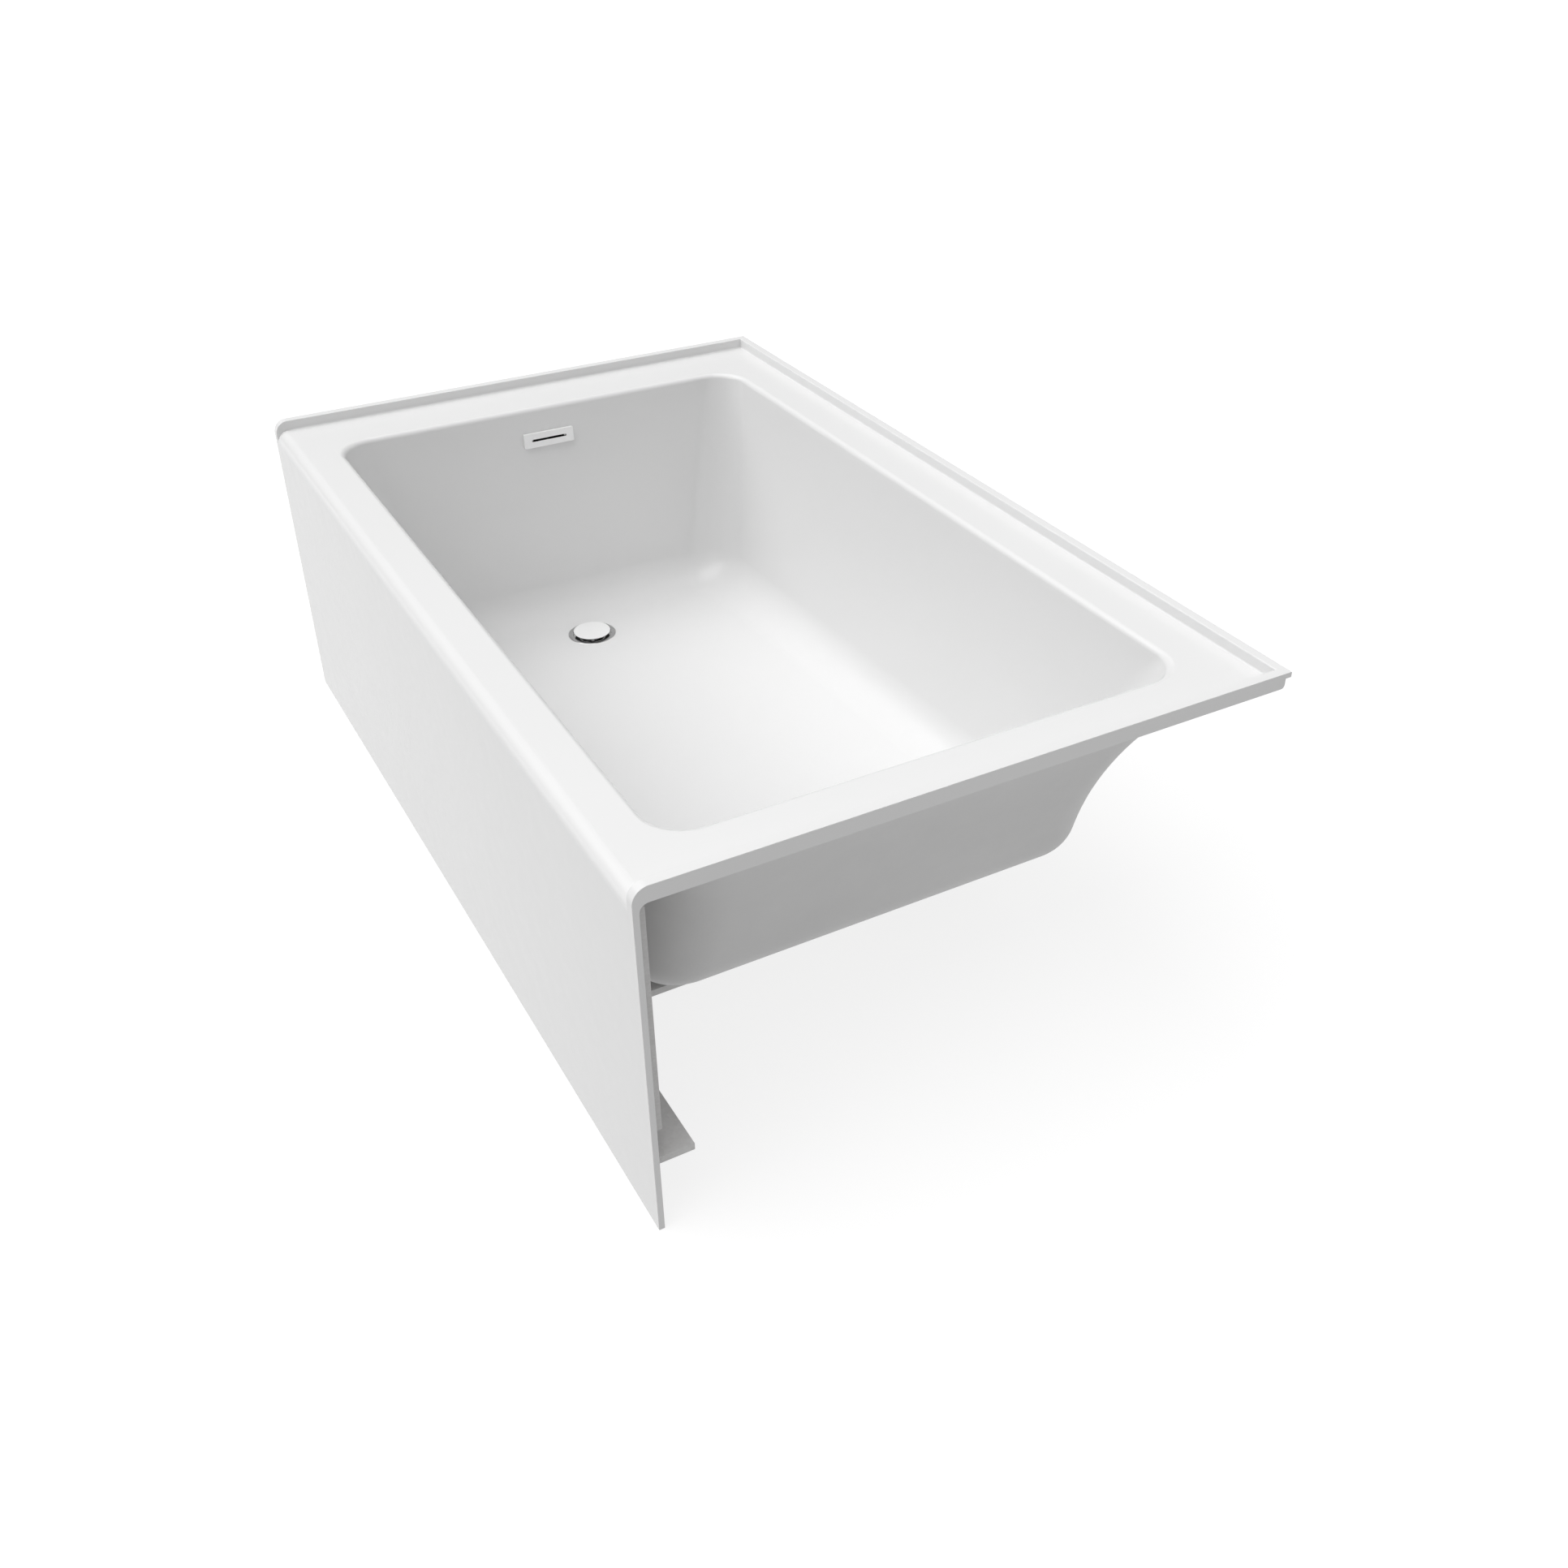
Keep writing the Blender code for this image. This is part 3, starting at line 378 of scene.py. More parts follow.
def boolean(obj, bm, how, smooth=34.0):
    """Applies one exact Boolean with a throwaway cutter."""
    obj.modifiers.clear()
    other = finish_mesh("cutter", bm, [], weighted=False)
    mod = obj.modifiers.new("cut", "BOOLEAN")
    mod.operation = how
    mod.solver = "EXACT"
    mod.object = other
    dg = bpy.context.evaluated_depsgraph_get()
    mesh = bpy.data.meshes.new_from_object(obj.evaluated_get(dg))
    obj.modifiers.clear()
    old = obj.data
    obj.data = mesh
    mesh.name = obj.name
    bpy.data.meshes.remove(old)
    cut_mesh = other.data
    bpy.data.objects.remove(other, do_unlink=True)
    bpy.data.meshes.remove(cut_mesh)
    crease(obj, smooth)
    return obj


def tidy(obj, dist=2e-6, smooth=34.0):
    """Welds the specks that Booleans leave and re-weights the normals."""
    bm = bmesh.new()
    bm.from_mesh(obj.data)
    bmesh.ops.remove_doubles(bm, verts=bm.verts, dist=dist)
    bmesh.ops.dissolve_degenerate(bm, edges=bm.edges, dist=dist)
    bm.to_mesh(obj.data)
    bm.free()
    crease(obj, smooth)
    weigh(obj)
    return obj


def loft(bm, rings, closed=False):
    made = [[bm.verts.new(p) for p in ring] for ring in rings]
    count = len(made[0])
    last = len(made) if closed else len(made) - 1
    for k in range(last):
        a, b = made[k], made[(k + 1) % len(made)]
        for i in range(count):
            j = (i + 1) % count
            bm.faces.new((a[i], a[j], b[j], b[i]))
    if not closed:
        bm.faces.new(list(reversed(made[0])))
        bm.faces.new(made[-1])


AXES = {
    "Z": (Vector((1, 0, 0)), Vector((0, 1, 0)), Vector((0, 0, 1))),
    "X": (Vector((0, 1, 0)), Vector((0, 0, 1)), Vector((1, 0, 0))),
    "Y": (Vector((0, 0, 1)), Vector((1, 0, 0)), Vector((0, 1, 0))),
}


def turn(bm, profile, centre, axis="Z", steps=96, shape=None):
    """Solid of revolution; shape(angle, radius, height) may vary the radius."""
    on_axis = profile[0][0] < 1e-9 and profile[-1][0] < 1e-9
    body = profile[1:-1] if on_axis else profile
    u, v, w = AXES[axis]
    c = Vector(centre)
    rings = []
    for r, h in body:
        ring = []
        for k in range(steps):
            a = 2 * math.pi * k / steps
            rr = shape(a, r, h) if shape else r
            ring.append(bm.verts.new(c + u * (rr * math.cos(a)) + v * (rr * math.sin(a)) + w * h))
        rings.append(ring)
    pairs = list(zip(rings, rings[1:]))
    if not on_axis:
        pairs.append((rings[-1], rings[0]))
    for a, b in pairs:
        for k in range(steps):
            j = (k + 1) % steps
            bm.faces.new((a[k], a[j], b[j], b[k]))
    if on_axis:
        bm.faces.new(list(reversed(rings[0])))
        bm.faces.new(rings[-1])


def turned(name, profile, centre, mat, axis="Z", steps=96, smooth=34.0, shape=None):
    bm = bmesh.new()
    turn(bm, profile, centre, axis, steps, shape)
    return finish_mesh(name, bm, [mat], smooth)


def rounded(profile, radius, steps=3, closed=True):
    """Rounds every corner of a 2-D profile that is sharp enough to matter."""
    out = []
    n = len(profile)
    for i, p in enumerate(profile):
        if not closed and i in (0, n - 1):
            out.append(tuple(p))
            continue
        p = Vector(p)
        a, b = Vector(profile[i - 1]) - p, Vector(profile[(i + 1) % n]) - p
        la, lb = a.length, b.length
        if la < 1e-7 or lb < 1e-7:
            continue
        turned_by = math.pi - a.angle(b)
        if turned_by < math.radians(25):
            out.append(tuple(p))
            continue
        reach = min(radius * math.tan(turned_by / 2), la * 0.45, lb * 0.45)
        q0, q1 = p + a / la * reach, p + b / lb * reach
        for k in range(steps + 1):
            t = k / steps
            q = q0 * (1 - t) ** 2 + p * 2 * t * (1 - t) + q1 * t ** 2
            out.append(tuple(q))
    return out


def arc(cx, cy, r, start, end, steps):
    return [
        (
            cx + r * math.cos(math.radians(start + (end - start) * k / steps)),
            cy + r * math.sin(math.radians(start + (end - start) * k / steps)),
        )
        for k in range(steps + 1)
    ]


def round_rect(w, h, r, steps=8):
    pts = []
    for sx, sy, a in ((1, 1, 0), (-1, 1, 90), (-1, -1, 180), (1, -1, 270)):
        pts += arc(sx * (w / 2 - r), sy * (h / 2 - r), r, a, a + 90, steps)
    return pts


def inset(outline, by):
    """Moves each corner of an anticlockwise or clockwise outline inwards."""
    n = len(outline)
    area = sum(
        outline[i][0] * outline[(i + 1) % n][1] - outline[(i + 1) % n][0] * outline[i][1]
        for i in range(n)
    )
    side = 1.0 if area > 0 else -1.0
    out = []
    for i in range(n):
        p = Vector(outline[i])
        a, b = p - Vector(outline[i - 1]), Vector(outline[(i + 1) % n]) - p
        if a.length < 1e-9 or b.length < 1e-9:
            out.append(tuple(p))
            continue
        a.normalize()
        b.normalize()
        na, nb = Vector((-a.y, a.x)) * side, Vector((-b.y, b.x)) * side
        m = (na + nb).normalized()
        out.append(tuple(p + m * (by / max(m.dot(na), 0.4))))
    return out


def eased_prism(bm, outline, place, low, high, ease, steps=3, low_end=True, high_end=True):
    """Extrusion whose end edges are eased with a small quarter round."""
    rings = [[place(p, low) for p in outline]]
    if low_end:
        rings = []
        for k in range(steps):
            t = math.pi / 2 * k / steps
            rings.append([place(p, low + ease * (1 - math.cos(t))) for p in inset(outline, ease * (1 - math.sin(t)))])
        rings.append([place(p, low + ease) for p in outline])
    if high_end:
        rings.append([place(p, high - ease) for p in outline])
        for k in reversed(range(steps)):
            t = math.pi / 2 * k / steps
            rings.append([place(p, high - ease * (1 - math.cos(t))) for p in inset(outline, ease * (1 - math.sin(t)))])
    else:
        rings.append([place(p, high) for p in outline])
    loft(bm, rings)


def along_x(p, t):
    return (t, p[0], p[1])


def along_y(p, t):
    return (p[0], t, p[1])


def along_z(p, t):
    return (p[0], p[1], t)


def lerp(a, b, t):
    return a + (b - a) * t


def floor_z(x):
    return FLOOR_AT_DRAIN + FLOOR_FALL * (x - DRAIN_X)


# ------------------------------------------------------------ the shell
def basin_point(corner, angle, z, off):
    h = (z - FLOOR_AT_DRAIN) / (DECK_TOP - FLOOR_AT_DRAIN)
    xa = lerp(BOT_FAR, TOP_FAR, h) - off
    xb = lerp(BOT_NEAR, TOP_NEAR, h) + off * 1.075
    half_far = lerp(BOT_HALF_FAR, TOP_HALF, h) + off
    half_near = lerp(BOT_HALF_NEAR, TOP_HALF, h) + off
    near, back = corner
    low = NEAR_CORNER_BOT if near else CORNER_BOT
    bulge = NEAR_BULGE * 4 * max(h, 0.0) * max(1.0 - h, 0.0) if near else 0.0
    r = max(lerp(low, CORNER_TOP, h) + bulge + off, 0.004)
    half = half_near if near else half_far
    cx = xb - r if near else xa + r
    cy = BASIN_MID + (half - r if back else r - half)
    return cx + r * math.cos(angle), cy + r * math.sin(angle)


CORNERS = (((1, 1), 0), ((0, 1), 90), ((0, 0), 180), ((1, 0), 270))


def basin_frames(steps):
    frames = []
    for corner, start in CORNERS:
        for k in range(steps + 1):
            frames.append((corner, math.radians(start + 90 * k / steps)))
    return frames


def dense(ring, steps, extra):
    """Adds points along the straight sides, between one corner and the next."""
    out = []
    per = steps + 1
    for c in range(4):
        out += ring[c * per : (c + 1) * per]
        a, b = Vector(ring[(c + 1) * per - 1]), Vector(ring[((c + 1) * per) % len(ring)])
        many = extra if c % 2 == 0 else extra // 2
        out += [tuple(a.lerp(b, k / (many + 1))) for k in range(1, many + 1)]
    return out


def fillet_rings(frames, off, steps):
    rings = []
    radius = FLOOR_FILLET + off
    for s in range(steps + 1):
        a = math.pi / 2 * s / steps
        inward, rise = radius * (1 - math.sin(a)), radius * (1 - math.cos(a))
        ring = []
        for corner, angle in frames:
            x = BOT_NEAR if corner[0] else BOT_FAR
            for _ in range(4):
                z = floor_z(x) - off + rise
                x, y = basin_point(corner, angle, z, off - inward)
            ring.append((x, y, z))
        rings.append(ring)
    return rings


def flare_of(corner, angle):
    near, back = corner
    along = FLARE_NEAR if near else FLARE_FAR
    if back:
        across = FLARE_BACK_NEAR if near else FLARE_BACK_FAR
    else:
        across = FLARE_FRONT_NEAR if near else FLARE_FRONT_FAR
    c2 = math.cos(angle) ** 2
    return tuple(p * c2 + q * (1 - c2) for p, q in zip(along, across))


def wall_rings(frames, low, high, off, steps):
    """Rings of the plain wall, between the fillet and whatever is above it."""
    rings = []
    for k in range(1, steps):
        ring = []
        for (corner, angle), a, b in zip(frames, low, high):
            z = lerp(a[2], b[2], k / steps)
            x, y = basin_point(corner, angle, z, off)
            ring.append((x, y, z))
        rings.append(ring)
    return rings


def basin_outside(corner_steps, steps, extra):
    frames = basin_frames(corner_steps)
    rings = fillet_rings(frames, WALL, steps)
    flare = []
    for b in range(0, steps + 1):
        t = math.radians(80 * b / steps)
        ring = []
        for corner, angle in frames:
            reach, drop = flare_of(corner, angle)
            z = DECK_UNDER - drop * (1 - math.sin(t))
            x, y = basin_point(corner, angle, z, WALL + reach * (1 - math.cos(t)))
            ring.append((x, y, z))
        flare.append(ring)
    rings += wall_rings(frames, rings[-1], flare[0], WALL, 10)
    rings += flare
    top = []
    for corner, angle in frames:
        reach = flare_of(corner, angle)[0]
        grow = WALL + reach * (1 - math.cos(math.radians(80))) + 0.006
        x, y = basin_point(corner, angle, DECK_UNDER, grow)
        top.append((x, y, DECK_UNDER + 0.0020))
    rings.append(top)
    return [dense(r, corner_steps, extra) for r in rings]


def basin_inside(corner_steps, steps, lip_steps, extra):
    frames = basin_frames(corner_steps)
    rings = fillet_rings(frames, 0.0, steps)
    lip = []
    for b in range(lip_steps + 1):
        t = math.pi / 2 * b / lip_steps
        z = DECK_TOP - LIP_RADIUS * (1 - math.sin(t))
        ring = []
        for corner, angle in frames:
            x, y = basin_point(corner, angle, min(z, DECK_TOP), LIP_RADIUS * (1 - math.cos(t)))
            ring.append((x, y, z + (4e-6 if b == lip_steps else 0.0)))
        lip.append(ring)
    rings += wall_rings(frames, rings[-1], lip[0], 0.0, 20)
    rings += lip
    rings.append([(x, y, DECK_TOP + 0.03) for x, y, _ in rings[-1]])
    return [dense(r, corner_steps, extra) for r in rings]


def back_edge(steps):
    """The flange's outer edge, lip and heel, shared by both sections."""
    back = HALF_W
    heel_y = back - FLANGE_STEP
    pts = arc(back - 0.0015, TUB_HEIGHT - 0.0015, 0.0015, 90, 0, steps)
    pts += arc(back - 0.0008, TUB_HEIGHT - FLANGE_LIP + 0.0008, 0.0008, 0, -90, 2)
    pts += [(heel_y, TUB_HEIGHT - FLANGE_LIP)]
    pts += arc(heel_y - FLANGE_HEEL, DECK_UNDER + FLANGE_HEEL, FLANGE_HEEL, 0, -90, 8)
    return pts


def shell_profile():
    back = HALF_W
    inner_r = EDGE_RADIUS - APRON_THICK
    pts = arc(FRONT + CRISP, CRISP, CRISP, 270, 180, 3)
    pts += arc(FRONT + EDGE_RADIUS, DECK_TOP - EDGE_RADIUS, EDGE_RADIUS, 180, 90, 28)
    pts += arc(back - FLANGE_WIDTH - 0.003, DECK_TOP + 0.003, 0.003, 270, 360, 6)
    pts += arc(back - FLANGE_WIDTH + 0.0018, TUB_HEIGHT - 0.0018, 0.0018, 180, 90, 5)
    pts += back_edge(5)
    pts += arc(FRONT + APRON_THICK + inner_r, DECK_UNDER - inner_r, inner_r, 90, 180, 12)
    pts += arc(FRONT + APRON_THICK - CRISP, CRISP, CRISP, 0, -90, 3)
    return pts


def flange_profile():
    pts = [(FRONT, DECK_UNDER - 0.020)]
    pts += arc(FRONT + FLANGE_NOSE, TUB_HEIGHT - FLANGE_NOSE, FLANGE_NOSE, 180, 90, 24)
    pts += back_edge(5)
    pts += [(FRONT + EDGE_RADIUS, DECK_UNDER)]
    inner_r = EDGE_RADIUS - APRON_THICK
    pts += arc(FRONT + APRON_THICK + inner_r, DECK_UNDER - inner_r, inner_r, 90, 180, 12)[1:]
    pts += [(FRONT + APRON_THICK, DECK_UNDER - 0.020)]
    return pts


def wall_x(z):
    return lerp(BOT_FAR, TOP_FAR, (z - FLOOR_AT_DRAIN) / (DECK_TOP - FLOOR_AT_DRAIN))


TILT = math.atan2(BOT_FAR - TOP_FAR, DECK_TOP - FLOOR_AT_DRAIN)
WALL_BASE = Vector((wall_x(PLATE_Z), BASIN_MID, PLATE_Z))
WALL_UP = Vector((-math.sin(TILT), 0.0, math.cos(TILT)))
WALL_OUT = Vector((math.cos(TILT), 0.0, math.sin(TILT)))


def on_wall(u, v, out):
    return tuple(WALL_BASE + WALL_UP * v + Vector((0, u, 0)) + WALL_OUT * out)


def wall_prism(bm, outline, out0, out1):
    loft(bm, [[on_wall(u, v, out0) for u, v in outline], [on_wall(u, v, out1) for u, v in outline]])


def build_shell():
    bm = bmesh.new()
    eased_prism(bm, shell_profile(), along_x, -HALF_L, HALF_L, EASE)
    shell = finish_mesh("bath_shell", bm, [ACRYLIC, LAMINATE])
    for low in (HALF_L - FLANGE_WIDTH, -HALF_L):
        outer_high = low > 0
        bm = bmesh.new()
        eased_prism(bm, flange_profile(), along_x, low, low + FLANGE_WIDTH, EASE, 3)
        boolean(shell, bm, "UNION")
        # Small cove where the end flange rises from the deck.
        inner = low if outer_high else low + FLANGE_WIDTH
        sign = -1.0 if outer_high else 1.0
        bm = bmesh.new()
        rings = []
        start, stop = FRONT + FLANGE_NOSE, HALF_W - FLANGE_WIDTH + 0.002
        for y, r in ((start, 0.0002), (start + 0.006, 0.0014), (start + 0.016, 0.0030), (stop, 0.0030)):
            pts = [(inner - sign * 0.001, DECK_TOP - 0.001), (inner + sign * r, DECK_TOP - 0.001)]
            pts += [(inner + sign * (r - r * math.sin(t)), DECK_TOP + r - r * math.cos(t)) for t in [math.pi / 2 * k / 6 for k in range(7)]]
            pts += [(inner - sign * 0.001, DECK_TOP + r)]
            rings.append([along_y(p, y) for p in pts])
        loft(bm, rings)
        boolean(shell, bm, "UNION")
    bm = bmesh.new()
    loft(bm, basin_outside(20, 18, 14))
    boolean(shell, bm, "UNION")
    bm = bmesh.new()
    loft(bm, basin_inside(24, 20, 10, 16))
    boolean(shell, bm, "DIFFERENCE")
    bm = bmesh.new()
    turn(
        bm,
        [
            (0, FLOOR_AT_DRAIN + 0.02), (RECESS_R + 0.0008, FLOOR_AT_DRAIN + 0.02), (RECESS_R + 0.0008, FLOOR_AT_DRAIN),
            (RECESS_R, FLOOR_AT_DRAIN - 0.0008), (RECESS_R, FLOOR_AT_DRAIN - RECESS_DEPTH),
            (DRAIN_HOLE_R, FLOOR_AT_DRAIN - RECESS_DEPTH), (DRAIN_HOLE_R, FLOOR_AT_DRAIN - 0.03), (0, FLOOR_AT_DRAIN - 0.03),
        ],
        (DRAIN_X, DRAIN_Y, 0),
        steps=96,
    )
    boolean(shell, bm, "DIFFERENCE")
    bm = bmesh.new()
    wall_prism(bm, round_rect(OVER_HOLE_W, OVER_HOLE_H, 0.004), -0.02, 0.02)
    boolean(shell, bm, "DIFFERENCE")
    tidy(shell)
    # The back of the moulding is laminate: everything under the deck that
    # looks away from the basin, and the inside face of the apron.
    core = Vector((-0.03, BASIN_MID, 0.40))
    for poly in shell.data.polygons:
        c, n = poly.center, poly.normal
        under = c.z < DECK_UNDER + 0.0004
        hidden = under and c.y > FRONT + 0.0079 and abs(c.x) < HALF_L - 0.0008
        if hidden and c.y > FRONT + 0.030:
            inside_out = n.dot((core - c).normalized()) > 0.0
            deck_side = n.z < -0.5 and c.z > 0.47
            hidden = deck_side or not inside_out
        poly.material_index = 1 if hidden else 0
    return shell


shell = build_shell()
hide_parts("tub_shell")
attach(shell, "tub")


# ------------------------------------------------------------ hardware
def put(obj, node, body="tub"):
    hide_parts(node)
    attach(obj, body)
    return obj


def eased_board(name, low_x, high_x, y0, y1, top_of, thick, ease=0.0010, holes=()):
    """A board with eased arrises; top_of(x) gives its upper face."""
    outline = [(low_x, y0), (high_x, y0), (high_x, y1), (low_x, y1)]
    rings = []
    for by, t in ((ease, 0.0), (ease * 0.29, ease * 0.29), (0.0, ease)):
        rings.append([(x, y, top_of(x) - t) for x, y in inset(outline, by)])
    for by, t in ((0.0, ease), (ease * 0.29, ease * 0.29), (ease, 0.0)):
        rings.append([(x, y, top_of(x) - thick + t) for x, y in inset(outline, by)])
    bm = bmesh.new()
    loft(bm, list(reversed(rings)))
    return finish_mesh(name, bm, [BOARD], weighted=False)


inner = FRONT + APRON_THICK
BACKER_T, BACKER_END, BACKER_BOTTOM, BACKER_TOP = 0.0117, 0.7445, 0.1510, 0.4835
RIB_BOTTOM, RIB_TOP, RIB_INNER = 0.0955, 0.1070, 0.0600

back_board = eased_board(
    "backer_board", -BACKER_END, BACKER_END, inner + GAP, inner + GAP + BACKER_T,
    lambda x: BACKER_TOP, BACKER_TOP - BACKER_BOTTOM, 0.0008,
)
put(tidy(back_board), "apron_backer_board")
rib_board = eased_board(
    "stiffener_board", -BACKER_END, BACKER_END, inner + GAP, FRONT + RIB_INNER,
    lambda x: RIB_TOP, RIB_TOP - RIB_BOTTOM, 0.0008,
)
put(tidy(rib_board), "apron_stiffener_rib")

floor_board = eased_board(
    "floor_board", -0.5650, 0.4860, BASIN_MID - 0.3300, BASIN_MID + 0.3300,
    lambda x: floor_z(x) - WALL - GAP, BOARD_T, 0.0009,
)
bm = bmesh.new()
pts = arc(DRAIN_X, DRAIN_Y, 0.062, 90, -90, 36)
pts += [(-0.615, DRAIN_Y - 0.062), (-0.615, DRAIN_Y + 0.062)]
loft(bm, [[(x, y, 0.05) for x, y in reversed(pts)], [(x, y, 0.15) for x, y in reversed(pts)]])
boolean(floor_board, bm, "DIFFERENCE")
bm = bmesh.new()
for x in RAIL_X:
    for y in (BASIN_MID - FOOT_Y, BASIN_MID + FOOT_Y):
        turn(bm, [(0, 0.05), (0.0080, 0.05), (0.0080, 0.15), (0, 0.15)], (x, y, 0), steps=40)
boolean(floor_board, bm, "DIFFERENCE")
put(tidy(floor_board), "base_board")


def board_under(x):
    return floor_z(x) - WALL - GAP - BOARD_T


def rail_piece(name, node, x_mid):
    """Pressed channel with rounded folds."""
    w, s, r = RAIL_WIDE / 2, RAIL_SHEET, 0.0030
    outline = [(-w, -RAIL_DEEP)]
    outline += arc(-w + r, -r, r, 180, 90, 6)
    outline += arc(w - r, -r, r, 90, 0, 6)
    outline += [(w, -RAIL_DEEP), (w - s, -RAIL_DEEP)]
    q = r - s
    outline += arc(w - r, -r, q, 0, 90, 4)
    outline += arc(-w + r, -r, q, 90, 180, 4)
    outline += [(-w + s, -RAIL_DEEP)]
    bm = bmesh.new()
    loft(
        bm,
        [
            [(x_mid + x, y, board_under(x_mid + x) - GAP + z) for x, z in outline]
            for y in (BASIN_MID - RAIL_HALF, BASIN_MID + RAIL_HALF)
        ],
    )
    obj = finish_mesh(name, bm, [GALV])
    bm = bmesh.new()
    for y in (-FOOT_Y, FOOT_Y):
        turn(bm, [(0, 0.06), (STUD_R + 0.0005, 0.06), (STUD_R + 0.0005, 0.125), (0, 0.125)], (x_mid, BASIN_MID + y, 0), steps=48)
    for y in (-0.1, 0.1):
        turn(bm, [(0, 0.06), (0.0026, 0.06), (0.0026, 0.125), (0, 0.125)], (x_mid, BASIN_MID + y, 0), steps=24)
    boolean(obj, bm, "DIFFERENCE")
    put(tidy(obj), node)


rail_piece("channel_drain", "support_rail_drain", RAIL_X[0])
rail_piece("channel_backrest", "support_rail_backrest", RAIL_X[1])


def threaded(bm, cx, cy, low, high, crest, root, pitch, steps=32):
    """A closed rod with a helical thread between plain runs at its ends."""
    per = 6
    turns = (high - low) / pitch
    rows = int(turns * per) + 1
    rings = []
    for k in range(rows + 1):
        z = low + (high - low) * k / rows
        ring = []
        for s in range(steps):
            a = 2 * math.pi * s / steps
            phase = ((z - low) / pitch - s / steps) % 1.0
            depth = 1.0 - abs(2 * phase - 1.0)
            fade = min(1.0, (z - low) / (pitch * 1.2), (high - z) / (pitch * 1.2))
            r = crest - (crest - root) * min(1.0, depth * 1.25) * max(0.0, fade)
            ring.append((cx + r * math.cos(a), cy + r * math.sin(a), z))
        rings.append(ring)
    return rings


def disc(cx, cy, r, z, steps=32):
    return [(cx + r * math.cos(2 * math.pi * s / steps), cy + r * math.sin(2 * math.pi * s / steps), z) for s in range(steps)]


def foot_piece(tag, x, y):
    body = "foot_" + tag
    web = board_under(x) - GAP - RAIL_SHEET
    top = web + STUD_ABOVE
    start = PAD_H + GAP
    rings = [disc(x, y, 0.0098, start), disc(x, y, 0.0105, start + 0.0007), disc(x, y, 0.0105, PAD_H + 0.0045), disc(x, y, 0.0101, PAD_H + 0.0052), disc(x, y, STUD_R, PAD_H + 0.0070)]
    rings += threaded(None, x, y, PAD_H + 0.0080, top - 0.0012, STUD_R, STUD_R - 0.0006, 0.00175)
    rings += [disc(x, y, STUD_R - 0.0008, top)]
    bm = bmesh.new()
    loft(bm, rings)
    put(finish_mesh("levelling_stud_" + tag, bm, [ZINC], 28), "foot_stud_" + tag, body)

    # Moulded pad, with a grip groove round its skirt.
    profile = [
        (0, 0.0), (PAD_R - 0.0020, 0.0), (PAD_R - 0.0006, 0.0006), (PAD_R, 0.0020), (PAD_R, 0.0035),
        (PAD_R - 0.0008, 0.0041), (PAD_R - 0.0008, 0.0047), (PAD_R - 0.0002, 0.0054), (PAD_R - 0.0008, 0.0066),
        (0.0215, 0.0100), (0.0180, 0.0146), (0.0168, PAD_H - 0.0010), (0.0158, PAD_H), (0, PAD_H),
    ]
    obj = turned("foot_boot_" + tag, profile, (x, y, 0), PAD, steps=96, smooth=50)
    put(obj, "foot_pad_" + tag, body)

    # Hexagon nut with chamfered corners.
    low, high = web - 0.0105, web - 0.0005
    hexa = [(x + 0.0108 * math.cos(math.pi * k / 3), y + 0.0108 * math.sin(math.pi * k / 3)) for k in range(6)]
    bm = bmesh.new()
    loft(bm, [[(a, b, low) for a, b in hexa], [(a, b, high) for a, b in hexa]])
    nut = finish_mesh("lock_nut_" + tag, bm, [ZINC])
    bm = bmesh.new()
    turn(bm, [(0, low - 0.001), (0.0094, low - 0.001), (0.0094, low), (0.0109, low + 0.0011), (0.0109, high - 0.0011), (0.0094, high), (0.0094, high + 0.001), (0, high + 0.001)], (x, y, 0), steps=72)
    boolean(nut, bm, "INTERSECT")
    bm = bmesh.new()
    turn(bm, [(0, low - 0.01), (STUD_R + GAP, low - 0.01), (STUD_R + GAP, web + 0.01), (0, web + 0.01)], (x, y, 0), steps=48)
    boolean(nut, bm, "DIFFERENCE")
    put(tidy(nut), "foot_nut_" + tag)


def rail_screw_piece(tag, x, y):
    web = board_under(x) - GAP - RAIL_SHEET
    profile = [
        (0, web - 0.0032), (0.0020, web - 0.0032), (0.0032, web - 0.0029), (0.0041, web - 0.0021), (0.0045, web - 0.0012),
        (0.0046, web - 0.0005), (0.0044, web - 0.0004), (0.0021, web - 0.0004), (0.0021, web + RAIL_SHEET), (0, web + RAIL_SHEET),
    ]
    obj = turned("pan_screw_" + tag, profile, (x, y, 0), ZINC, steps=48)
    for turned_by in (0, 1):
        bm = bmesh.new()
        w, l = 0.00045, 0.0019
        a, b = (l, w) if turned_by else (w, l)
        loft(bm, [[(x - a * 0.4, y - b * 0.4, web - 0.0019), (x + a * 0.4, y - b * 0.4, web - 0.0019), (x + a * 0.4, y + b * 0.4, web - 0.0019), (x - a * 0.4, y + b * 0.4, web - 0.0019)][::-1],
                  [(x - a, y - b, web - 0.0040), (x + a, y - b, web - 0.0040), (x + a, y + b, web - 0.0040), (x - a, y + b, web - 0.0040)][::-1]])
        boolean(obj, bm, "DIFFERENCE")
    put(tidy(obj), "rail_screw_" + tag)


for label, x_mid in zip(("drain", "backrest"), RAIL_X):
    for side_name, sign in (("front", -1), ("back", 1)):
        tag = "%s_%s" % (label, side_name)
        foot_piece(tag, x_mid, BASIN_MID + sign * FOOT_Y)
        rail_screw_piece(tag, x_mid, BASIN_MID + sign * 0.1)

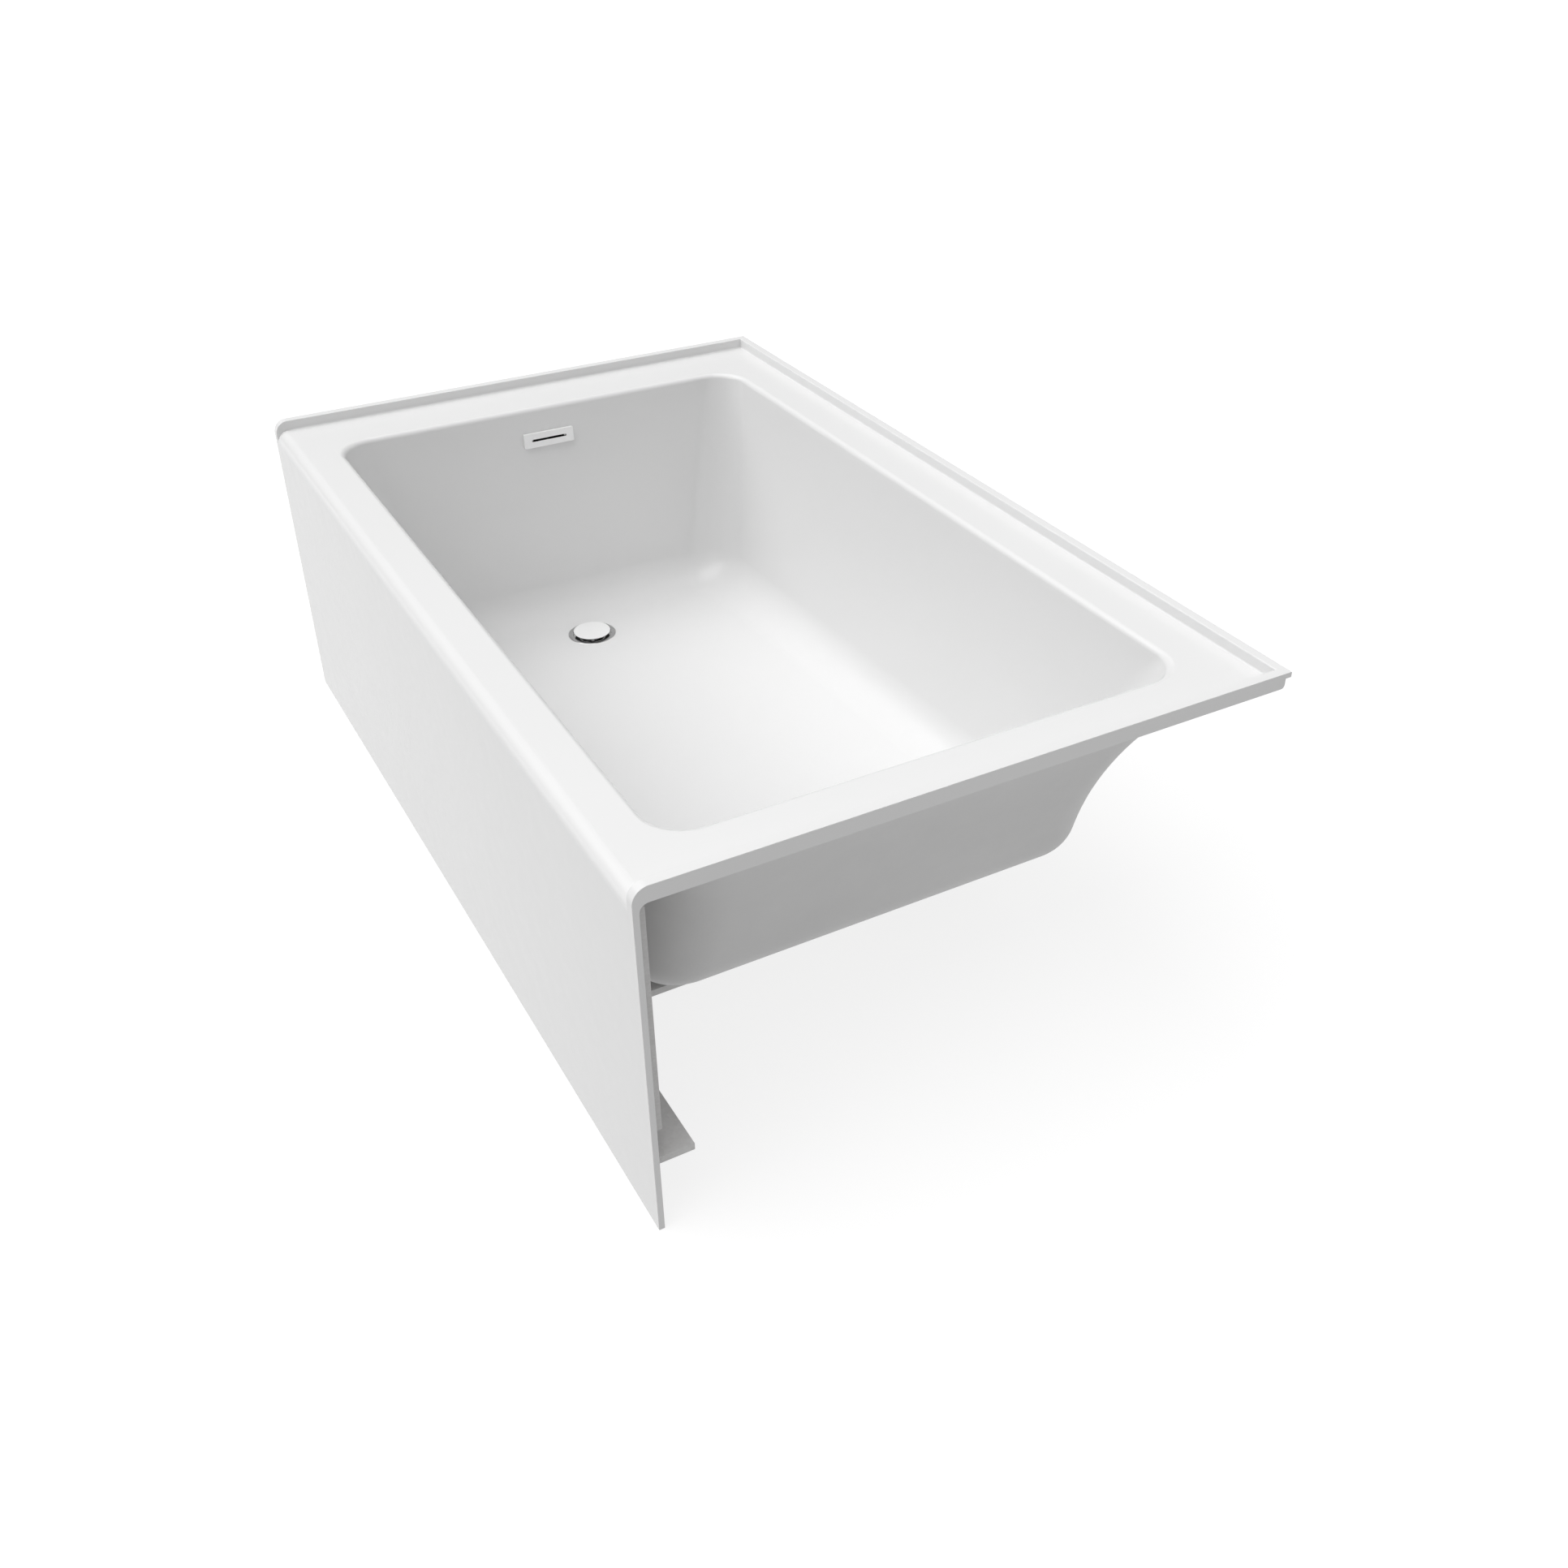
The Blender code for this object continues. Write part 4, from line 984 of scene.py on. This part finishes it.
# Drain body, with its cross-bars.
Z = FLOOR_AT_DRAIN
AT_DRAIN = (DRAIN_X, DRAIN_Y, 0)
drain_profile = rounded(
    [
        (0.0430, Z - RECESS_DEPTH + GAP), (0.0430, Z - 0.0005), (0.0422, Z), (0.0358, Z), (0.0350, Z - 0.0008), (0.0346, Z - 0.0046),
        (0.0260, Z - 0.0052), (0.0208, Z - 0.0080), (0.0208, Z - 0.0440), (0.0232, Z - 0.0440), (0.0232, Z - 0.0130), (0.0290, Z - 0.0085),
        (0.0376, Z - 0.0075), (0.0382, Z - RECESS_DEPTH + GAP),
    ],
    0.0005,
    3,
)
drain_obj = turned("drain_body", drain_profile, AT_DRAIN, CHROME, steps=128)
low, high = Z - 0.0180, Z - 0.0140
bm = bmesh.new()
turn(bm, [(0, low), (0.0071, low), (0.0075, low + 0.0004), (0.0075, high - 0.0004), (0.0071, high), (0, high)], AT_DRAIN, steps=64)
boolean(drain_obj, bm, "UNION")
for k in range(3):
    a = math.radians(30 + 120 * k)
    d, n = Vector((math.cos(a), math.sin(a))), Vector((-math.sin(a), math.cos(a)))
    c = Vector((DRAIN_X, DRAIN_Y))
    quad = [tuple(c + d * s + n * t) for s, t in ((0.004, -0.0016), (0.0216, -0.0016), (0.0216, 0.0016), (0.004, 0.0016))]
    bm = bmesh.new()
    eased_prism(bm, quad, along_z, low, high, 0.0004)
    boolean(drain_obj, bm, "UNION")
bm = bmesh.new()
turn(bm, [(0, low - 0.01), (0.0042, low - 0.01), (0.0042, high + 0.01), (0, high + 0.01)], AT_DRAIN, steps=48)
boolean(drain_obj, bm, "DIFFERENCE")
put(tidy(drain_obj), "drain_flange")

UNDER = Z - WALL
put(
    turned("drain_washer", rounded([(0.0390, UNDER - 0.0012), (0.0500, UNDER - 0.0012), (0.0500, UNDER - 0.0040), (0.0238, UNDER - 0.0105), (0.0238, UNDER - 0.0075)], 0.0006), AT_DRAIN, RUBBER, steps=96),
    "drain_gasket",
)


def bored(name, profile, bore, centre, axis, mat, sides=8, round_steps=0, flutes=0):
    """A nut with flats, or a fluted grip, bored for its pipe."""
    steps = 144

    def flats(a, r, h):
        if r <= bore + 0.0006:
            return r
        seg = 2 * math.pi / sides
        local = (a % seg) - seg / 2
        flat = math.cos(seg / 2) / math.cos(local)
        return bore + 0.0006 + (r - bore - 0.0006) * flat

    def grip(a, r, h):
        return r - 0.00055 * (0.5 + 0.5 * math.cos(flutes * a)) ** 3 if r > bore + 0.004 else r

    shape = grip if flutes else flats
    bm = bmesh.new()
    turn(bm, profile, centre, axis, steps, shape)
    obj = finish_mesh(name, bm, [mat], 28)
    ends = [h for _, h in profile]
    bm = bmesh.new()
    lo, hi = min(ends) - 0.01, max(ends) + 0.01
    turn(bm, [(0, lo), (bore, lo), (bore, hi), (0, hi)], centre, axis, 72)
    boolean(obj, bm, "DIFFERENCE")
    return tidy(obj)


put(
    bored(
        "drain_backnut",
        [(0, UNDER - 0.0190), (0.0325, UNDER - 0.0190), (0.0330, UNDER - 0.0187), (0.0340, UNDER - 0.0140), (0.0484, UNDER - 0.0088), (0.0490, UNDER - 0.0083), (0.0490, UNDER - 0.0064), (0.0236, UNDER - 0.0112), (0, UNDER - 0.0112)],
        0.0236, AT_DRAIN, "Z", NUT, sides=8,
    ),
    "drain_locknut",
)

# Stopper: cap, seal and stem.
TOP = Z + 0.0065
cap_profile = [
    (0, TOP - 0.0027), (0.0318, TOP - 0.0027), (0.0329, TOP - 0.00255), (0.0335, TOP - 0.0021), (0.0338, TOP - 0.0014),
    (0.0337, TOP - 0.0009), (0.0333, TOP - 0.0005), (0.0325, TOP - 0.00022), (0.0300, TOP - 0.00008), (0.0250, TOP), (0.0120, TOP + 0.00012), (0, TOP + 0.0002),
]
put(turned("stopper_top", cap_profile, AT_DRAIN, CAP, steps=128), "stopper_cap", "stopper")
seal_profile = rounded([(0.0066, TOP - 0.0030), (0.0318, TOP - 0.0030), (0.0322, TOP - 0.0036), (0.0310, TOP - 0.0044), (0.0066, TOP - 0.0044)], 0.0003)
put(turned("stopper_washer", seal_profile, AT_DRAIN, SEAL, steps=96), "stopper_seal", "stopper")
stem_profile = [
    (0, Z - 0.0320), (0.0028, Z - 0.0320), (0.0034, Z - 0.0317), (0.0038, Z - 0.0310), (0.0038, Z - 0.0262), (0.0034, Z - 0.0260),
    (0.0034, Z - 0.0246), (0.0038, Z - 0.0244), (0.0038, TOP - 0.0076), (0.0055, TOP - 0.0073), (0.0062, TOP - 0.0069), (0.0062, TOP - 0.0030), (0, TOP - 0.0030),
]
put(turned("stopper_rod", stem_profile, AT_DRAIN, CHROME, steps=72), "stopper_stem", "stopper")


def pipe_piece(name, node, inner_r, outer_r, lo, hi, centre, axis):
    e = 0.0004
    profile = [(inner_r, lo + e), (inner_r + e, lo), (outer_r - e, lo), (outer_r, lo + e), (outer_r, hi - e), (outer_r - e, hi), (inner_r + e, hi), (inner_r, hi - e)]
    put(turned(name, profile, centre, PVC, axis, 96), node)


def moulded_fitting(name, node, adds, cuts):
    """Moulded fitting: tubes with collared ends and softened mouths."""
    first = None
    for centre, axis, r, lo, hi, lo_soft, hi_soft in adds:
        bm = bmesh.new()
        e = 0.0007
        profile = [(0, lo)]
        profile += [(r - e, lo), (r, lo + e)] if lo_soft else [(r, lo)]
        profile += [(r, hi - e), (r - e, hi)] if hi_soft else [(r, hi)]
        profile += [(0, hi)]
        turn(bm, profile, centre, axis, 96)
        if first is None:
            first = finish_mesh(name, bm, [PVC])
        else:
            boolean(first, bm, "UNION")
    for centre, axis, r, lo, hi in cuts:
        bm = bmesh.new()
        turn(bm, [(0, lo), (r, lo), (r, hi), (0, hi)], centre, axis, 96)
        boolean(first, bm, "DIFFERENCE")
    put(tidy(first), node)


def coupling(name, node, centre, axis, wide, thin):
    span = thin - wide
    profile = [(0, wide), (0.0236, wide), (0.0240, wide + 0.01 * span), (0.0255, wide + 0.10 * span), (0.0255, wide + 0.75 * span), (0.0225, wide + 0.985 * span), (0.0219, thin), (0, thin)]
    put(bored(name, profile, PIPE_R + GAP, centre, axis, NUT, flutes=24), node)


SHOE_TOP = Z - WALL - 0.0194
PIPE_AT = (0, DRAIN_Y, PIPE_Z)
SHOE_OUT = DRAIN_X - 0.050
TEE_IN = TUBE_X + 0.046
TEE_LOW, TEE_HIGH = 0.0125, PIPE_Z + 0.048
TEE_AT = (TUBE_X, DRAIN_Y, 0)
moulded_fitting(
    "waste_shoe", "drain_shoe",
    [(AT_DRAIN, "Z", 0.0275, PIPE_Z - 0.0225, SHOE_TOP, True, True), (PIPE_AT, "X", 0.0215, SHOE_OUT, DRAIN_X, True, False)],
    [(AT_DRAIN, "Z", 0.0236, PIPE_Z + 0.012, SHOE_TOP + 0.01), (AT_DRAIN, "Z", 0.0190, PIPE_Z - 0.0180, PIPE_Z + 0.013),
     (PIPE_AT, "X", PIPE_R + GAP, SHOE_OUT - 0.01, SHOE_OUT + 0.020), (PIPE_AT, "X", 0.0170, SHOE_OUT + 0.019, DRAIN_X)],
)
pipe_piece("waste_run", "waste_pipe", PIPE_BORE, PIPE_R, TEE_IN - 0.0185, SHOE_OUT + 0.0185, PIPE_AT, "X")
coupling("shoe_coupling", "shoe_slip_nut", PIPE_AT, "X", SHOE_OUT - GAP, SHOE_OUT - 0.0165)
moulded_fitting(
    "waste_junction", "waste_tee",
    [(TEE_AT, "Z", 0.0215, TEE_LOW, TEE_HIGH, True, True), (PIPE_AT, "X", 0.0215, TUBE_X, TEE_IN, False, True)],
    [(TEE_AT, "Z", 0.0170, TEE_LOW - 0.01, TEE_HIGH + 0.01), (TEE_AT, "Z", PIPE_R + GAP, TEE_HIGH - 0.020, TEE_HIGH + 0.01),
     (PIPE_AT, "X", 0.0170, TUBE_X, TEE_IN + 0.01), (PIPE_AT, "X", PIPE_R + GAP, TEE_IN - 0.020, TEE_IN + 0.01)],
)
coupling("side_coupling", "tee_side_nut", PIPE_AT, "X", TEE_IN + GAP, TEE_IN + 0.0165)
coupling("top_coupling", "tee_top_nut", TEE_AT, "Z", TEE_HIGH + GAP, TEE_HIGH + 0.0165)
tail_profile = [
    (0.0150, 0.0014), (0.0154, 0.0010), (0.0196, 0.0010), (0.0200, 0.0014), (0.0200, TEE_LOW - GAP), (0.0166, TEE_LOW - GAP),
    (0.0166, TEE_LOW + 0.0096), (0.0162, TEE_LOW + 0.010), (0.0150, TEE_LOW + 0.010),
]
put(turned("tail_pipe", tail_profile, TEE_AT, PVC, steps=96), "waste_tailpiece")
BODY_LOW = PLATE_Z - 0.056
pipe_piece("overflow_riser", "overflow_tube", PIPE_BORE, PIPE_R, TEE_HIGH - 0.0185, BODY_LOW + 0.0185, TEE_AT, "Z")
coupling("overflow_coupling", "overflow_slip_nut", TEE_AT, "Z", BODY_LOW - GAP, BODY_LOW - 0.0165)


# Overflow: gasket, box fitting, bracket, screws and the slotted cover.
def wall_eased(bm, outline, out0, out1, ease, low_end=True, high_end=True):
    eased_prism(bm, outline, lambda p, t: on_wall(p[0], p[1], t), out0, out1, ease, 3, low_end, high_end)


BACK = -WALL
bm = bmesh.new()
wall_eased(bm, round_rect(0.096, 0.038, 0.006, 10), BACK - 0.0028, BACK - 0.0005, 0.0003)
gasket = finish_mesh("overflow_washer", bm, [RUBBER])
bm = bmesh.new()
wall_prism(bm, round_rect(0.078, 0.020, 0.004, 10), BACK - 0.01, BACK + 0.01)
boolean(gasket, bm, "DIFFERENCE")
put(tidy(gasket), "overflow_gasket")

FACE = BACK - 0.0031
bm = bmesh.new()
wall_eased(bm, round_rect(0.096, 0.038, 0.006, 10), FACE - 0.0040, FACE, 0.0004)
fitting_body = finish_mesh("overflow_elbow", bm, [PVC])
bm = bmesh.new()
wall_eased(bm, round_rect(0.084, 0.032, 0.005, 10), FACE - 0.0560, FACE - 0.0020, 0.0012, high_end=False)
boolean(fitting_body, bm, "UNION")
bm = bmesh.new()
turn(bm, [(0, BODY_LOW), (0.0208, BODY_LOW), (0.0215, BODY_LOW + 0.0007), (0.0215, PLATE_Z), (0, PLATE_Z)], TEE_AT, steps=96)
boolean(fitting_body, bm, "UNION")
bm = bmesh.new()
wall_prism(bm, round_rect(0.078, 0.026, 0.003, 8), FACE - 0.0530, FACE - 0.0060)
boolean(fitting_body, bm, "DIFFERENCE")
bm = bmesh.new()
wall_prism(bm, round_rect(0.062, 0.020, 0.003, 8), FACE - 0.0100, FACE + 0.01)
boolean(fitting_body, bm, "DIFFERENCE")
bm = bmesh.new()
turn(bm, [(0, BODY_LOW - 0.01), (PIPE_R + GAP, BODY_LOW - 0.01), (PIPE_R + GAP, BODY_LOW + 0.0200), (0.0165, BODY_LOW + 0.0200), (0.0165, PLATE_Z), (0, PLATE_Z)], TEE_AT, steps=96)
boolean(fitting_body, bm, "DIFFERENCE")

bm = bmesh.new()
wall_eased(bm, round_rect(0.0900, 0.0220, 0.003, 8), 0.0004, 0.0016, 0.0002)
# The bracket takes the darkened zinc: painted shade behind the slot.
bracket = finish_mesh("cover_bracket", bm, [ZINC_PAINTED_SHADE])
bm = bmesh.new()
wall_prism(bm, round_rect(0.0500, 0.0120, 0.003, 8), -0.01, 0.01)
boolean(bracket, bm, "DIFFERENCE")
for sign, tag in ((-1, "left"), (1, "right")):
    u = sign * 0.0335
    bm = bmesh.new()
    wall_prism(bm, [(u + a, b) for a, b in round_rect(0.0052, 0.0052, 0.0025, 8)], -0.02, 0.02)
    boolean(bracket, bm, "DIFFERENCE")
    bm = bmesh.new()
    wall_prism(bm, [(u + a, b) for a, b in round_rect(0.0046, 0.0046, 0.0022, 8)], -0.03, 0.0)
    boolean(fitting_body, bm, "DIFFERENCE")
    rings = []
    for size, out in ((0.0040, -0.0120), (0.0040, 0.0019), (0.0080, 0.0019), (0.0082, 0.0021), (0.0082, 0.0025), (0.0074, 0.0030), (0.0058, 0.0033), (0.0030, 0.0034)):
        rings.append([on_wall(u + size / 2 * math.cos(t), size / 2 * math.sin(t), out) for t in [2 * math.pi * k / 48 for k in range(48)]])
    bm = bmesh.new()
    loft(bm, rings)
    screw = finish_mesh("cover_screw_" + tag, bm, [ZINC])
    bm = bmesh.new()
    wall_prism(bm, [(u - 0.0006, -0.0060), (u + 0.0006, -0.0060), (u + 0.0006, 0.0060), (u - 0.0006, 0.0060)], 0.0026, 0.0060)
    boolean(screw, bm, "DIFFERENCE")
    put(tidy(screw), "overflow_screw_" + tag)
# Second slot: painted slot shade, near black, for the fitting's inside faces.
fitting_body.data.materials.append(SLOT_SHADE)
tidy(fitting_body)
for poly in fitting_body.data.polygons:
    flat = poly.center - WALL_BASE
    u, v, o = flat.y, flat.dot(WALL_UP), flat.dot(WALL_OUT)
    cavity = abs(u) < 0.0393 and abs(v) < 0.0133 and o < FACE + 0.0005
    poly.material_index = 1 if cavity else 0
put(fitting_body, "overflow_body")
put(tidy(bracket), "overflow_bracket")

COVER_LOW, COVER_TOP = 0.0004, 0.0056
bm = bmesh.new()
wall_eased(bm, round_rect(PLATE_W, PLATE_H, 0.0016, 8), COVER_LOW, COVER_TOP, 0.0006, low_end=False)
cover = finish_mesh("slot_cover", bm, [COVER])
bm = bmesh.new()
wall_prism(bm, round_rect(PLATE_W - 0.0026, PLATE_H - 0.0026, 0.001, 4), COVER_LOW - 0.01, COVER_TOP - 0.0016)
boolean(cover, bm, "DIFFERENCE")
bm = bmesh.new()
slot_line = round_rect(0.0660, 0.0040, 0.00195, 12)
wall_prism(bm, slot_line, COVER_TOP - 0.006, COVER_TOP + 0.01)
boolean(cover, bm, "DIFFERENCE")
# Second slot: painted slot shade, near black, for the cover's slot walls, back and skirt.
cover.data.materials.append(SLOT_SHADE)
tidy(cover)
for poly in cover.data.polygons:
    flat = (poly.center - WALL_BASE)
    u, v, o = flat.y, flat.dot(WALL_UP), flat.dot(WALL_OUT)
    n = poly.normal
    in_slot = abs(u) < 0.0332 and abs(v) < 0.00205 and abs(n.dot(WALL_OUT)) < 0.5 and o > COVER_TOP - 0.0030
    in_back = n.dot(WALL_OUT) < -0.5 and o > COVER_LOW + 0.001
    in_skirt = abs(u) < PLATE_W / 2 - 0.0010 and abs(v) < PLATE_H / 2 - 0.0010 and o < COVER_TOP - 0.0012
    poly.material_index = 1 if in_slot or in_back or in_skirt else 0
put(cover, "overflow_cover")

# ------------------------------------------------------------ studio
FLOOR = Nodes("studio_floor")
out = FLOOR.tree.nodes["Material Output"]
FLOOR.set(Base_Color=(0.25, 0.25, 0.25, 1), Roughness=0.9, Specular_IOR_Level=0.0)
FLOOR.set(Emission_Color=(1, 1, 1, 1), Emission_Strength=0.78)
# Far out the floor brightens to meet the backdrop without a line.
here = FLOOR.tree.nodes.new("ShaderNodeTexCoord")
reach = FLOOR.tree.nodes.new("ShaderNodeVectorMath")
reach.operation = "LENGTH"
lift = FLOOR.tree.nodes.new("ShaderNodeMapRange")
for key, value in (("From Min", 5.0), ("From Max", 18.0), ("To Min", 0.78), ("To Max", 1.05)):
    lift.inputs[key].default_value = value
FLOOR.tree.links.new(here.outputs["Object"], reach.inputs[0])
FLOOR.tree.links.new(reach.outputs["Value"], lift.inputs["Value"])
FLOOR.tree.links.new(lift.outputs["Result"], FLOOR.bsdf.inputs["Emission Strength"])

bm = bmesh.new()
side = 90.0
steps = 24
grid = [[bm.verts.new((-side + 2 * side * i / steps, -side + 2 * side * j / steps, 0.0)) for j in range(steps + 1)] for i in range(steps + 1)]
for i in range(steps):
    for j in range(steps):
        bm.faces.new((grid[i][j], grid[i + 1][j], grid[i + 1][j + 1], grid[i][j + 1]))
floor_mesh = bpy.data.meshes.new("studio_floor")
bm.to_mesh(floor_mesh)
bm.free()
floor_mesh.materials.append(FLOOR.mat)
floor = bpy.data.objects.new("studio_floor", floor_mesh)
SCENE.collection.objects.link(floor)

# The floor shows, takes the shadow and is mirrored in glossy faces. The
# world below gives the bounce.
floor.visible_diffuse = False
floor.visible_shadow = False

bm = bmesh.new()
rings = []
for k in range(13):
    t = math.pi / 2 * k / 12
    r = max(88.0 * math.cos(t), 0.5)
    rings.append([(r * math.cos(2 * math.pi * a / 64), r * math.sin(2 * math.pi * a / 64), 88.0 * math.sin(t) - 0.5) for a in range(64)])
made = [[bm.verts.new(p) for p in ring] for ring in rings]
for a, b in zip(made, made[1:]):
    for k in range(64):
        bm.faces.new((a[k], b[k], b[(k + 1) % 64], a[(k + 1) % 64]))
bm.faces.new(list(reversed(made[-1])))
dome_mesh = bpy.data.meshes.new("studio_backdrop")
bm.to_mesh(dome_mesh)
bm.free()
WHITE = Nodes("studio_backdrop")
WHITE.set(Base_Color=(0, 0, 0, 1), Roughness=1.0, Specular_IOR_Level=0.0)
WHITE.set(Emission_Color=(1, 1, 1, 1), Emission_Strength=1.05)
dome_mesh.materials.append(WHITE.mat)
dome = bpy.data.objects.new("studio_backdrop", dome_mesh)
SCENE.collection.objects.link(dome)
dome.visible_diffuse = False
dome.visible_glossy = False
dome.visible_shadow = False
dome.visible_transmission = False

# Radiance of the sky at the horizon and overhead, of the ground, of the key.
HORIZON, ZENITH, BOUNCE, KEY = 0.28, 0.72, 0.51, 1.95
world = bpy.data.worlds.new("studio")
SCENE.world = world
world.use_nodes = True
sky = world.node_tree
where = sky.nodes.new("ShaderNodeTexCoord")
split = sky.nodes.new("ShaderNodeSeparateXYZ")
above = sky.nodes.new("ShaderNodeMapRange")
above.inputs["From Min"].default_value = 0.0
above.inputs["From Max"].default_value = 1.0
above.inputs["To Min"].default_value = HORIZON
above.inputs["To Max"].default_value = ZENITH
level = sky.nodes.new("ShaderNodeMapRange")
level.inputs["From Min"].default_value = -0.03
level.inputs["From Max"].default_value = 0.03
level.inputs["To Min"].default_value = BOUNCE
back = sky.nodes["Background"]
back.inputs["Color"].default_value = (1, 1, 1, 1)
sky.links.new(where.outputs["Generated"], split.inputs["Vector"])
sky.links.new(split.outputs["Z"], above.inputs["Value"])
sky.links.new(above.outputs["Result"], level.inputs["To Max"])
sky.links.new(split.outputs["Z"], level.inputs["Value"])
sky.links.new(level.outputs["Result"], back.inputs["Strength"])


def softbox(name, toward, distance, size, radiance):
    data = bpy.data.lights.new(name, "AREA")
    data.shape = "RECTANGLE"
    data.size, data.size_y = size
    data.energy = radiance * math.pi * size[0] * size[1]
    obj = bpy.data.objects.new(name, data)
    d = Vector(toward).normalized()
    obj.location = d * distance
    obj.rotation_euler = d.to_track_quat("Z", "Y").to_euler()
    SCENE.collection.objects.link(obj)
    return obj


softbox("key", (-0.14, -0.44, 0.887), 30.0, (40.0, 40.0), KEY)

SCENE.view_settings.view_transform = "Standard"
SCENE.view_settings.look = "None"

cam_data = bpy.data.cameras.new("camera")
cam = bpy.data.objects.new("camera", cam_data)
yaw, pitch = math.radians(150.345), math.radians(-33.773)
ahead = Vector((math.cos(pitch) * math.cos(yaw), math.cos(pitch) * math.sin(yaw), math.sin(pitch)))
cam.location = (1.9722, -0.9212, 1.5207)
cam.rotation_euler = ahead.to_track_quat("-Z", "Y").to_euler()
cam_data.sensor_width = 36.0
cam_data.lens = 36.168
cam_data.shift_x = -0.02397
cam_data.shift_y = -0.0043
cam_data.clip_start = 0.05
cam_data.clip_end = 200.0
SCENE.collection.objects.link(cam)
SCENE.camera = cam
